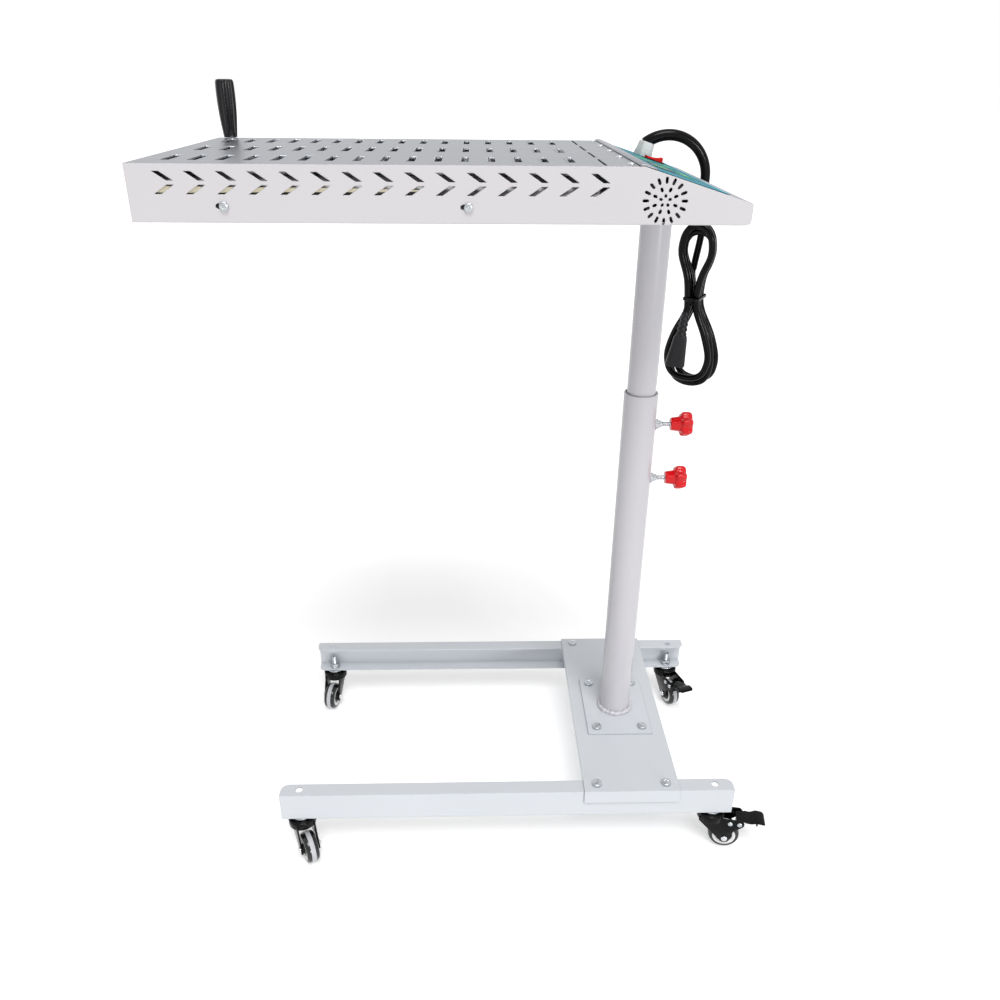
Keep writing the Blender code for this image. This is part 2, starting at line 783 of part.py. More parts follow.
def make_fork(tag, swivel, braked):
    """A pressed fork: a cupped crown and two swept cheeks, which carry the brake's pin and rivets."""
    radius = CROWN_DIA / 2
    hole = STEM_DIA / 2 + RUN_CLEAR
    crown = turned_body(
        [
            (radius, CROWN_LOW),
            (radius, CROWN_TOP - FORK_SHEET / 2),
            (radius - FORK_SHEET / 2, CROWN_TOP),
            (hole, CROWN_TOP),
            (hole, CROWN_TOP - FORK_SHEET),
            (radius - FORK_SHEET, CROWN_TOP - FORK_SHEET),
            (radius - FORK_SHEET, CROWN_LOW),
        ],
        CROWN_STEPS,
        hollow=True,
    )
    fork = add_object("caster_fork_" + tag, crown, BLACK_STEEL, swivel, smooth=40)
    outline = leg_outline(braked)
    for side, word in ((-1, "a"), (1, "b")):
        leg = bmesh.new()
        ends = sorted((side * LEG_INSIDE, side * LEG_OUTSIDE))
        prism(leg, outline, ends[0], ends[1])
        join_body(fork, add_cutter(f"leg_{tag}_{word}", leg, swivel))
        if braked:
            for index in range(2):
                x = BRAKE_PIN_X - index * BRAKE_RIVET_PITCH
                tip = side * (LEG_OUTSIDE + BRAKE_RIVET_HEIGHT)
                spots = sorted((side * (LEG_OUTSIDE - FORK_SHEET / 2), tip))
                rivet = sideways(BRAKE_RIVET_DIA / 2, AXLE_STEPS, spots[0], spots[1])
                move(rivet, Matrix.Translation((x, 0, BRAKE_PIN_Z)))
                join_body(fork, add_cutter(f"rivet_{tag}_{word}{index}", rivet, swivel))
    if braked:
        reach = LEG_OUTSIDE - FORK_SHEET / 2
        pin = sideways(BRAKE_PIN_DIA / 2, AXLE_STEPS, -reach, reach)
        move(pin, Matrix.Translation((BRAKE_PIN_X, 0, BRAKE_PIN_Z)))
        join_body(fork, add_cutter(f"brake_pin_{tag}", pin, swivel))
    bore = sideways(AXLE_DIA / 2 + GAP, AXLE_STEPS, -CROWN_DIA, CROWN_DIA)
    move(bore, Matrix.Translation((WHEEL_TRAIL, 0, WHEEL_DIA / 2)))
    cut(fork, add_cutter(f"axle_bore_{tag}", bore, swivel))
    return fork


def make_axle(tag, swivel):
    """The axle bolt, with a domed head at each side of the fork."""
    shank = AXLE_DIA / 2
    head = AXLE_HEAD_DIA / 2
    seat = LEG_OUTSIDE + GAP
    profile = [
        (head * 0.6, -seat - AXLE_HEAD_HEIGHT),
        (head, -seat - AXLE_HEAD_HEIGHT / 2),
        (head, -seat),
        (shank, -seat),
        (shank, seat),
        (head, seat),
        (head, seat + AXLE_HEAD_HEIGHT / 2),
        (head * 0.6, seat + AXLE_HEAD_HEIGHT),
    ]
    bm = turned_body(profile, AXLE_STEPS)
    move(bm, Matrix.Rotation(-math.pi / 2, 4, "X"))
    move(bm, Matrix.Translation((WHEEL_TRAIL, 0, WHEEL_DIA / 2)))
    add_object("caster_axle_" + tag, bm, CHROME, swivel, smooth=40)


def make_wheel(tag, axle):
    """A wheel on the axle's axis: core and cast tread in one piece, a facet flat on the floor."""
    half = WHEEL_WIDTH / 2
    rim = WHEEL_DIA / 2 - TREAD_DEPTH
    bore = AXLE_DIA / 2 + GAP
    hub = HUB_DIA / 2
    face = [
        (bore, HUB_HALF),
        (hub, HUB_HALF),
        (hub + WEB_RECESS, half - WEB_RECESS),
        (rim, half),
        (rim + TREAD_DEPTH * 0.6, half),
        (WHEEL_DIA / 2, half - TREAD_SHOULDER),
    ]
    profile = [(r, -h) for r, h in face] + face[::-1]
    wheel = turned_body(profile, WHEEL_STEPS, hollow=True, turn=180 / WHEEL_STEPS)
    move(wheel, Matrix.Rotation(-math.pi / 2, 4, "X"))
    add_object("caster_wheel_" + tag, wheel, GREY_TREAD, axle, smooth=40)


def make_pedal(tag, pivot):
    """A foot pedal: two ears on the brake pin, a waved plate to step on and a shoe over the tread."""
    half = PEDAL_WIDTH / 2
    inside = LEG_INSIDE - RUN_CLEAR
    eye = PEDAL_EYE_DIA / 2
    lift = eye - PEDAL_SHEET / 2
    clear = BRAKE_CHEEK + GAP
    stations = [
        (-eye, inside, 0),
        (clear, inside, 0),
        (clear + PEDAL_SHEET, half * 0.92, 0),
        (PEDAL_LENGTH * 0.45, half * 0.92, -PEDAL_WAVE * 0.5),
        (PEDAL_LENGTH * 0.65, half, PEDAL_WAVE),
        (PEDAL_LENGTH * 0.90, half, PEDAL_WAVE * 0.4),
        (PEDAL_LENGTH, half * 0.82, -PEDAL_WAVE * 0.6),
    ]
    loops = []
    for x, wide, wave in stations:
        low = lift + wave - PEDAL_SHEET / 2
        high = low + PEDAL_SHEET
        loops.append([(x, -wide, low), (x, wide, low), (x, wide, high), (x, -wide, high)])
    bm = bmesh.new()
    loft(bm, loops)
    pedal = add_object("brake_pedal_" + tag, bm, BLACK_STEEL, pivot)
    for side, word in ((-1, "a"), (1, "b")):
        ends = sorted((side * inside, side * (inside - PEDAL_SHEET)))
        ear = sideways(eye, AXLE_STEPS, ends[0], ends[1])
        join_body(pedal, add_cutter(f"pedal_ear_{tag}_{word}", ear, pivot))
    lip = bmesh.new()
    start = PEDAL_LENGTH * 0.65
    edge = half * 0.82
    low = (start, -edge, lift - PEDAL_EDGE)
    block(lip, low, (start + PEDAL_SHEET, edge, lift + PEDAL_WAVE))
    join_body(pedal, add_cutter(f"pedal_rib_{tag}", lip, pivot))
    shoe = bmesh.new()
    edge = PEDAL_SHEET / 2
    wide = inside - PEDAL_SHEET / 2
    block(shoe, (-edge, -wide, -SHOE_REACH), (edge, wide, 0))
    move(shoe, Matrix.Rotation(math.radians(SHOE_ANGLE), 4, "Y"))
    join_body(pedal, add_cutter(f"brake_shoe_{tag}", shoe, pivot))
    bore = sideways(BRAKE_PIN_DIA / 2 + GAP, AXLE_STEPS, -CROWN_DIA, CROWN_DIA)
    cut(pedal, add_cutter(f"pedal_bore_{tag}", bore, pivot))


def make_caster(tag, x, side, swivel_angle, raised=None):
    """One caster; raised is how far its brake pedal stands up, where it has a brake."""
    make_stem(tag, x, side * STEM_Y)
    turn = (0, 0, math.radians(swivel_angle))
    swivel = make_empty("swivel_" + tag, stand, (x, side * STEM_Y, 0), turn)
    axle = make_empty("axle_" + tag, swivel, (WHEEL_TRAIL, 0, WHEEL_DIA / 2))
    make_fork(tag, swivel, raised is not None)
    make_axle(tag, swivel)
    make_wheel(tag, axle)
    if raised is not None:
        place = (BRAKE_PIN_X, 0, BRAKE_PIN_Z)
        pivot = make_empty("pedal_" + tag, swivel, place, (0, -math.radians(raised), 0))
        make_pedal(tag, pivot)


# Post: welded lower tube, sliding mast and the two clamping knobs


def make_lower_tube():
    """The fixed tube with its weld at the foot and two welded nuts for the clamping screws."""
    outer = TUBE_DIA / 2
    inner = outer - TUBE_WALL
    foot = FOOT_TOP + GAP
    bm = turned_body(
        [
            (outer + WELD_LEG, foot),
            (outer, foot + WELD_LEG),
            (outer, TUBE_RIM),
            (inner, TUBE_RIM),
            (inner, foot),
        ],
        TUBE_STEPS,
        hollow=True,
    )
    tube = add_object("lower_tube", bm, TUBE_PAINT, stand, smooth=30)
    along_x = Matrix.Rotation(math.pi / 2, 4, "Y")
    for word, height in (("upper", KNOB_HEIGHT_UPPER), ("lower", KNOB_HEIGHT_LOWER)):
        boss = turned_body(
            [(BOSS_DIA / 2, inner + TUBE_WALL / 2), (BOSS_DIA / 2, outer + BOSS_LENGTH)],
            BOSS_STEPS,
        )
        move(boss, Matrix.Translation((0, 0, height)) @ along_x)
        join_body(tube, add_cutter("boss_" + word, boss, stand))
        radius = CLAMP_DIA / 2 + RUN_CLEAR
        hole = turned_body([(radius, 0), (radius, outer + BOSS_LENGTH + CUT_OVER)], BOSS_STEPS)
        move(hole, Matrix.Translation((0, 0, height)) @ along_x)
        cut(tube, add_cutter("boss_hole_" + word, hole, stand))


def make_knob(word, height):
    """A star knob moulded on its clamping screw, which presses on the mast: one piece."""
    along_x = Matrix.Rotation(math.pi / 2, 4, "Y")
    pivot = make_empty("knob_axis_" + word, stand, (0, 0, height))
    tip = MAST_DIA / 2 + GAP
    hub_start = TUBE_DIA / 2 + BOSS_LENGTH + CLAMP_EXPOSED
    radius = CLAMP_DIA / 2
    screw = turned_body(
        [(radius * 0.7, tip), (radius, tip + radius * 0.4), (radius, hub_start + KNOB_THREAD)],
        BOSS_STEPS,
    )
    move(screw, along_x)
    head_start = hub_start + KNOB_HUB
    full = KNOB_DIA / 2
    small = KNOB_HUB_DIA / 2
    wide = KNOB_HUB_WIDE / 2
    stations = [
        (small, KNOB_HUB_FLUTE, hub_start),
        (wide, KNOB_HUB_FLUTE, head_start),
        (full * 0.92, KNOB_LOBE_DEPTH, head_start),
        (full, KNOB_LOBE_DEPTH, head_start + KNOB_HEAD * 0.12),
        (full, KNOB_LOBE_DEPTH, head_start + KNOB_HEAD * 0.68),
        (full * 0.93, KNOB_LOBE_DEPTH, head_start + KNOB_HEAD * 0.88),
        (full * 0.72, KNOB_LOBE_DEPTH * 0.6, head_start + KNOB_HEAD),
    ]
    loops = [lobed(r, d, KNOB_LOBES, KNOB_LOBE_STEPS, h) for r, d, h in stations]
    bm = bmesh.new()
    loft(bm, loops)
    move(bm, along_x)
    knob = add_object("star_knob_" + word, bm, RED_PLASTIC, pivot, smooth=35)
    join_body(knob, add_cutter("clamp_screw_" + word, screw, pivot))


mast = make_empty("mast", stand)
head = make_empty("head", mast)


def make_mast():
    """The sliding inner tube that carries the head."""
    outer = MAST_DIA / 2
    inner = outer - MAST_WALL
    top = HEAD_BOTTOM + SOCKET_RISE - SOCKET_CAP - GAP
    bm = turned_body(
        [(outer, MAST_BOTTOM), (outer, top), (inner, top), (inner, MAST_BOTTOM)],
        TUBE_STEPS,
        hollow=True,
    )
    add_object("upper_tube", bm, TUBE_PAINT, mast, smooth=30)


def make_socket():
    """The collar under the head: a capped sleeve over the mast with a flange inside the floor."""
    inner = MAST_DIA / 2 + RUN_CLEAR
    outer = SOCKET_DIA / 2
    low = HEAD_BOTTOM - SOCKET_DROP
    top = HEAD_BOTTOM + SOCKET_RISE
    flange = SOCKET_FLANGE_DIA / 2
    seat = HEAD_BOTTOM + 2 * SKIN + 2 * GAP + GAP
    loops = [
        circle(inner, TUBE_STEPS, top - SOCKET_CAP),
        circle(inner, TUBE_STEPS, low),
        circle(outer, TUBE_STEPS, low),
        circle(outer, TUBE_STEPS, seat),
        circle(flange, TUBE_STEPS, seat),
        circle(flange, TUBE_STEPS, seat + SOCKET_FLANGE),
        circle(outer, TUBE_STEPS, seat + SOCKET_FLANGE),
        circle(outer, TUBE_STEPS, top),
    ]
    bm = bmesh.new()
    loft(bm, loops)
    add_object("head_socket", bm, WHITE_PAINT, head, smooth=30)


# Head casing


def panel_outline():
    """Side view of the head: flat over the heater, sloping down over the control box."""
    corner = (HEAD_RIGHT - END_CORNER, HEAD_BOTTOM + END_CORNER)
    outline = [(HEAD_LEFT, HEAD_BOTTOM)]
    outline += arc_points(corner, END_CORNER, -90, 0, CORNER_STEPS)
    outline += [(HEAD_RIGHT, HEAD_BOTTOM + END_HEIGHT)]
    outline += [(SLOPE_TOP_X, HEAD_TOP), (HEAD_LEFT, HEAD_TOP)]
    return outline


def chevron_outlines():
    """Pairs of slanted slots that point to the right, in a row along the heater."""
    centre = HEAD_BOTTOM + CHEVRON_HEIGHT
    outlines = []
    for i in range(CHEVRON_COUNT):
        tip = CHEVRON_LAST_TIP - i * CHEVRON_PITCH
        for way in (1, -1):
            near = centre + way * CHEVRON_SPLIT / 2
            far = near + way * CHEVRON_RISE
            back = tip - CHEVRON_SLANT
            outlines.append(
                [
                    (back - CHEVRON_WIDTH, far),
                    (back, far),
                    (tip, near),
                    (tip - CHEVRON_WIDTH, near),
                ]
            )
    return outlines


def round_ended(start, end, half):
    """Outline of a slot with round ends, between the centres of its ends."""
    a = math.degrees(math.atan2(end[1] - start[1], end[0] - start[0]))
    outline = arc_points(end, half, a - 90, a + 90, SLOT_END_STEPS)
    return outline + arc_points(start, half, a + 90, a + 270, SLOT_END_STEPS)


def rosette_outlines():
    """Three rings of radial slots in front of the cooling fan."""
    centre = Vector((ROSETTE_X, HEAD_BOTTOM + ROSETTE_HEIGHT))
    outlines = []
    rings = zip(ROSETTE_COUNTS, ROSETTE_OUTER, ROSETTE_LENGTHS, ROSETTE_TURNS)
    for count, outer, length, turn in rings:
        for i in range(count):
            a = math.radians(turn) + math.tau * i / count
            out = Vector((math.cos(a), math.sin(a)))
            far = centre + out * (outer - ROSETTE_SLOT / 2)
            near = centre + out * (outer - length + ROSETTE_SLOT / 2)
            outlines.append(round_ended(near, far, ROSETTE_SLOT / 2))
    return outlines


def side_slot_outlines():
    """Short level slots for the screws that hold the heater tray."""
    height = HEAD_BOTTOM + SIDE_SCREW_HEIGHT
    outlines = []
    for x in SIDE_SCREW_XS:
        left = x - SIDE_SLOT_LENGTH + SIDE_SLOT_WIDTH
        outlines.append(round_ended((left, height), (x, height), SIDE_SLOT_WIDTH / 2))
    return outlines


def make_side_panel(name, side):
    """A painted side sheet with its vents pressed through and a lip turned in below."""
    outer = side * HEAD_HALF
    inner = side * (HEAD_HALF - SKIN)
    ends = sorted((outer, inner))
    bm = bmesh.new()
    prism(bm, panel_outline(), ends[0], ends[1])
    panel = add_object(name, bm, WHITE_PAINT, head)
    lip = bmesh.new()
    left = HEAD_LEFT + SKIN + RETURN_LIP + 2 * RUN_CLEAR
    right = HEAD_RIGHT - END_CORNER - RETURN_LIP - 2 * RUN_CLEAR
    lip_ends = sorted((side * (HEAD_HALF - SKIN / 2), side * (HEAD_HALF - RETURN_LIP)))
    block(lip, (left, lip_ends[0], HEAD_BOTTOM), (right, lip_ends[1], HEAD_BOTTOM + SKIN))
    join_body(panel, add_cutter(name + "_lip", lip, head))
    vents = bmesh.new()
    low = ends[0] - CUT_OVER
    high = ends[1] + CUT_OVER
    outlines = chevron_outlines() + side_slot_outlines()
    if side < 0:
        outlines += rosette_outlines()
    for outline in outlines:
        prism(vents, outline, low, high)
    cut(panel, add_cutter(name + "_vents", vents, head))
    height = HEAD_BOTTOM + SIDE_SCREW_HEIGHT
    screws = pan_screws(
        [(x, outer, height) for x in SIDE_SCREW_XS],
        SIDE_SCREW_DIA,
        HEAD_HALF - tray_half_y(height - SIDE_SCREW_DIA / 2) - 2 * GAP,
        Matrix.Rotation(-side * math.pi / 2, 4, "X"),
    )
    join_body(panel, add_cutter(name + "_screws", screws, head))


def slope_matrix(along, y, out=0.0):
    """A place on the sloping panel: X runs down the slope, Y across it and Z out of it."""
    down = Vector((math.cos(SLOPE_ANGLE), 0, -math.sin(SLOPE_ANGLE)))
    normal = Vector((math.sin(SLOPE_ANGLE), 0, math.cos(SLOPE_ANGLE)))
    place = Vector((SLOPE_TOP_X, y, HEAD_TOP)) + down * along + normal * out
    turn = Matrix((down, (0, 1, 0), normal)).transposed().to_4x4()
    return Matrix.Translation(place) @ turn


def make_top_cover():
    """One sheet folded over the head: left wall, slotted top, control slope and end wall."""
    corner = (HEAD_RIGHT - END_CORNER, HEAD_BOTTOM + END_CORNER)
    path = [
        (HEAD_LEFT + SKIN + RETURN_LIP, HEAD_BOTTOM),
        (HEAD_LEFT, HEAD_BOTTOM),
        (HEAD_LEFT, HEAD_TOP),
        (SLOPE_TOP_X, HEAD_TOP),
        (HEAD_RIGHT, HEAD_BOTTOM + END_HEIGHT),
    ]
    path += arc_points(corner, END_CORNER, 0, -90, CORNER_STEPS)
    path += [(HEAD_RIGHT - END_CORNER - RETURN_LIP, HEAD_BOTTOM)]
    bm = bmesh.new()
    prism(bm, folded_sheet(path, SKIN), -INNER_HALF, INNER_HALF)
    cover = add_object("top_cover", bm, SATIN_STEEL, head)
    slots = bmesh.new()
    low = HEAD_TOP - SKIN - CUT_OVER
    high = HEAD_TOP + CUT_OVER
    for column in range(SLOT_COLUMNS):
        x = SLOT_LAST_X - column * SLOT_PITCH_X
        for row in range(SLOT_ROWS):
            y = (row - (SLOT_ROWS - 1) / 2) * SLOT_PITCH_Y
            block(
                slots,
                (x - SLOT_WIDTH / 2, y - SLOT_LENGTH / 2, low),
                (x + SLOT_WIDTH / 2, y + SLOT_LENGTH / 2, high),
            )
    step = DASH_LENGTH + DASH_SPACE
    for i in range(DASH_COUNT):
        y = (i - (DASH_COUNT - 1) / 2) * step
        block(
            slots,
            (DASH_X - DASH_WIDTH / 2, y - DASH_LENGTH / 2, low),
            (DASH_X + DASH_WIDTH / 2, y + DASH_LENGTH / 2, high),
        )
    start = len(slots.verts)
    half_x = ROCKER_BODY_LENGTH / 2 + GAP
    half_y = ROCKER_BODY_WIDTH / 2 + GAP
    block(slots, (-half_x, -half_y, -SKIN - CUT_OVER), (half_x, half_y, CUT_OVER))
    move(slots, slope_matrix(CONTROL_ALONG, ROCKER_Y), start)
    start = len(slots.verts)
    radius = GLAND_THREAD_DIA / 2 + GAP
    turned(slots, [(radius, -SKIN - CUT_OVER), (radius, CUT_OVER)], GLAND_STEPS)
    move(slots, slope_matrix(GLAND_ALONG, GLAND_Y), start)
    start = len(slots.verts)
    radius = HANDLE_BOLT_DIA / 2 + GAP
    turned(slots, [(radius, low), (radius, high)], SCREW_STEPS)
    move(slots, Matrix.Translation((HANDLE_X, HANDLE_Y, 0)), start)
    cut(cover, add_cutter("top_cover_slots", slots, head))
    rivets = bmesh.new()
    for i in range(RIVET_COUNT):
        y = (i - (RIVET_COUNT - 1) / 2) * RIVET_PITCH
        start = len(rivets.verts)
        radius = RIVET_DIA / 2
        turned(
            rivets,
            [(radius, -GAP), (radius * 0.8, RIVET_HEIGHT * 0.7), (radius * 0.4, RIVET_HEIGHT)],
            SCREW_STEPS,
        )
        middle = (BULKHEAD_X + SLOPE_TOP_X) / 2
        move(rivets, Matrix.Translation((middle, y, HEAD_TOP)), start)
    join_body(cover, add_cutter("cover_rivets", rivets, head))


def make_floor_and_bulkhead():
    """The control box's floor round the post's collar, and the wall towards the heater."""
    low = HEAD_BOTTOM + SKIN + GAP
    high = low + SKIN
    right = HEAD_RIGHT - END_CORNER - GAP
    bm = bmesh.new()
    block(bm, (-FLOOR_LEFT, -INNER_HALF + GAP, low), (right, INNER_HALF - GAP, high))
    floor = add_object("control_floor", bm, SATIN_STEEL, head)
    radius = SOCKET_DIA / 2 + GAP
    hole = turned_body([(radius, low - CUT_OVER), (radius, high + CUT_OVER)], TUBE_STEPS)
    cut(floor, add_cutter("socket_hole", hole, head))
    top = HEAD_TOP - SKIN - GAP
    wall = folded_sheet(
        [
            (BULKHEAD_X, low),
            (BULKHEAD_X, top),
            (SLOPE_TOP_X - SKIN, top),
        ],
        SKIN,
    )
    bm = bmesh.new()
    prism(bm, wall, -INNER_HALF + GAP, INNER_HALF - GAP)
    add_object("bulkhead", bm, SATIN_STEEL, head)


# Heater: reflector tray, racks, quartz tubes with coils and ceramic ends

TRAY_LEFT = HEAD_LEFT + TRAY_END_MARGIN
TRAY_RIGHT = BULKHEAD_X - SKIN - TRAY_END_MARGIN
TRAY_TOP = HEAD_TOP - TRAY_TOP_DROP
TRAY_LOW = HEAD_BOTTOM + SKIN + GAP
TRAY_TOP_HALF = HEAD_HALF - TRAY_SIDE_MARGIN


def tray_half_y(height):
    """How far out the tray's splayed side wall is at a height."""
    share = (TRAY_TOP - height) / (TRAY_TOP - TRAY_LOW)
    return TRAY_TOP_HALF + TRAY_SPLAY * share


def make_tray():
    """The reflector: a shallow tray upside down, its walls splayed out to a rim."""
    sheet = TRAY_SHEET

    def rectangle(grow, height, extra=0.0):
        left = TRAY_LEFT - grow - extra
        right = TRAY_RIGHT + grow + extra
        half = TRAY_TOP_HALF + grow + extra
        return [(left, -half, height), (right, -half, height), (right, half, height), (left, half, height)]

    rim = TRAY_SPLAY + TRAY_RIM
    loops = [
        rectangle(0, TRAY_TOP),
        rectangle(TRAY_SPLAY, TRAY_LOW + sheet),
        rectangle(rim, TRAY_LOW + sheet),
        rectangle(rim, TRAY_LOW),
        rectangle(TRAY_SPLAY - sheet, TRAY_LOW),
        rectangle(-sheet, TRAY_TOP - sheet),
    ]
    bm = bmesh.new()
    loft(bm, loops)
    add_object("reflector_tray", bm, REFLECTOR, head)


QUARTZ_Z = HEAD_BOTTOM + QUARTZ_HEIGHT
QUARTZ_PITCH = 2 * (TRAY_TOP_HALF - QUARTZ_SIDE_INSET) / (QUARTZ_COUNT - 1)
QUARTZ_YS = [(i - (QUARTZ_COUNT - 1) / 2) * QUARTZ_PITCH for i in range(QUARTZ_COUNT)]
RACK_LEFT = TRAY_LEFT + RACK_INSET
RACK_RIGHT = TRAY_RIGHT - RACK_INSET


def make_rack(name, x, way):
    """A hanging strip with a row of holes for the ceramic ends; way points to the tubes."""
    top = TRAY_TOP - TRAY_SHEET - GAP
    low = top - RACK_DROP
    half = QUARTZ_YS[-1] + QUARTZ_PITCH * 0.35
    bm = bmesh.new()
    ends = sorted((x, x - way * RACK_SHEET))
    block(bm, (ends[0], -half, low), (ends[1], half, top))
    rack = add_object(name, bm, SATIN_STEEL, head)
    flange = bmesh.new()
    ends = sorted((x - way * RACK_SHEET / 2, x - way * RACK_FLANGE))
    block(flange, (ends[0], -half, top - RACK_SHEET), (ends[1], half, top))
    join_body(rack, add_cutter(name + "_flange", flange, head))
    holes = bmesh.new()
    radius = CAP_NECK_DIA / 2 + GAP
    reach = RACK_SHEET + CUT_OVER
    for y in QUARTZ_YS:
        start = len(holes.verts)
        turned(holes, [(radius, -reach), (radius, reach)], QUARTZ_STEPS)
        turn = Matrix.Rotation(math.pi / 2, 4, "Y")
        move(holes, Matrix.Translation((x, y, QUARTZ_Z)) @ turn, start)
    cut(rack, add_cutter(name + "_holes", holes, head))


def make_element(index, y):
    """A sealed heating element: a quartz tube between two ceramic ends that hang in the racks."""
    neck = CAP_NECK_DIA / 2
    cap = CAP_DIA / 2
    glass = QUARTZ_DIA / 2
    left = RACK_LEFT + GAP
    right = RACK_RIGHT - GAP
    profile = [
        (neck, left - CAP_NECK_LENGTH),
        (neck, left),
        (cap, left),
        (cap, left + CAP_LENGTH),
        (glass, left + CAP_LENGTH),
        (glass, right - CAP_LENGTH),
        (cap, right - CAP_LENGTH),
        (cap, right),
        (neck, right),
        (neck, right + CAP_NECK_LENGTH),
    ]
    bm = turned_body(profile, QUARTZ_STEPS)
    along_x = Matrix.Rotation(math.pi / 2, 4, "Y")
    move(bm, Matrix.Translation((0, y, QUARTZ_Z)) @ along_x)
    add_object(f"quartz_element_{index}", bm, QUARTZ, head, smooth=40)


# Cooling fan behind the rosette

FAN_FRONT = -HEAD_HALF + SKIN + GAP
FAN_Z = HEAD_BOTTOM + ROSETTE_HEIGHT


def make_fan():
    """A small square fan: frame with a spoked back, and a bladed rotor on its boss."""
    half = FAN_SIZE / 2
    bm = bmesh.new()
    square = [(-half, -half), (half, -half), (half, half), (-half, half)]
    prism(bm, square, 0, FAN_DEPTH)
    axis = make_empty("fan_axis", head, (ROSETTE_X, FAN_FRONT, FAN_Z))
    frame = add_object("fan_frame", bm, BLACK_PLASTIC, axis)
    bore = sideways(FAN_BORE / 2, FAN_STEPS, -CUT_OVER, FAN_DEPTH + CUT_OVER)
    cut(frame, add_cutter("fan_bore", bore, axis))
    low = FAN_DEPTH - FAN_PLATE
    boss = sideways(FAN_HUB / 2, FAN_STEPS, low, FAN_DEPTH)
    join_body(frame, add_cutter("fan_boss", boss, axis))
    reach = FAN_BORE / 2 + FAN_PLATE / 2
    wide = FAN_SPOKE_WIDTH / 2
    for i in range(FAN_SPOKES // 2):
        bar = bmesh.new()
        block(bar, (-reach, low, -wide), (reach, FAN_DEPTH, wide))
        move(bar, Matrix.Rotation(math.pi * (i + 0.5) / (FAN_SPOKES // 2), 4, "Y"))
        join_body(frame, add_cutter(f"fan_bar_{i}", bar, axis))
    rotor_depth = low - GAP
    hub = sideways(FAN_HUB / 2, FAN_STEPS, FAN_PLATE / 2, rotor_depth)
    rotor = add_object("fan_rotor", hub, BLACK_PLASTIC, axis, smooth=40)
    tip = FAN_BORE / 2 - FAN_TIP_CLEAR
    sheet = FAN_BLADE_SHEET / 2
    for i in range(FAN_BLADES):
        blade = bmesh.new()
        root = FAN_HUB / 2 * 0.8
        half_depth = rotor_depth * 0.38
        loops = []
        for radius, twist in ((root, FAN_BLADE_SWEEP), (tip * 0.97, FAN_BLADE_SWEEP * 1.6)):
            lean = math.tan(math.radians(twist)) * half_depth
            loops.append(
                [
                    (radius, -half_depth, -lean - sheet),
                    (radius, half_depth, lean - sheet),
                    (radius, half_depth, lean + sheet),
                    (radius, -half_depth, -lean + sheet),
                ]
            )
        loft(blade, loops)
        move(blade, Matrix.Translation((0, rotor_depth * 0.5, 0)))
        move(blade, Matrix.Rotation(math.tau * i / FAN_BLADES, 4, "Y"))
        join_body(rotor, add_cutter(f"fan_blade_{i}", blade, axis))


# Control slope: film, controller, rocker and gland


def make_film():
    """The control film on the slope, cut out round the rocker and the gland."""
    half = INNER_HALF - FILM_SIDE_INSET
    bm = bmesh.new()
    low = GAP
    block(
        bm,
        (FILM_TOP_INSET, -half, low),
        (FILM_TOP_INSET + FILM_RUN, half, low + FILM_SHEET),
    )
    place = slope_matrix(0, 0)
    move(bm, place)
    film = add_object("control_film", bm, PANEL_FILM, head)
    holes = bmesh.new()
    high = FILM_SHEET + CUT_OVER
    half_x = ROCKER_LENGTH / 2 + GAP
    half_y = ROCKER_WIDTH / 2 + GAP
    block(holes, (-half_x, -half_y, -CUT_OVER), (half_x, half_y, high))
    move(holes, slope_matrix(CONTROL_ALONG, ROCKER_Y))
    start = len(holes.verts)
    radius = GLAND_HEX / 2 / math.cos(math.pi / 6) + GAP
    turned(holes, [(radius, -CUT_OVER), (radius, high)], GLAND_STEPS)
    move(holes, slope_matrix(GLAND_ALONG, GLAND_Y), start)
    cut(film, add_cutter("film_holes", holes, head))
    bm = bmesh.new()
    top = -SKIN - GAP
    block(
        bm,
        (-CONTROLLER_WIDTH / 2, -CONTROLLER_LENGTH / 2, top - CONTROLLER_DEPTH),
        (CONTROLLER_WIDTH / 2, CONTROLLER_LENGTH / 2, top),
    )
    move(bm, slope_matrix(CONTROL_ALONG, CONTROLLER_Y))
    add_object("controller_unit", bm, BLACK_PLASTIC, head)


ROCKER_PIVOT = ROCKER_RIM


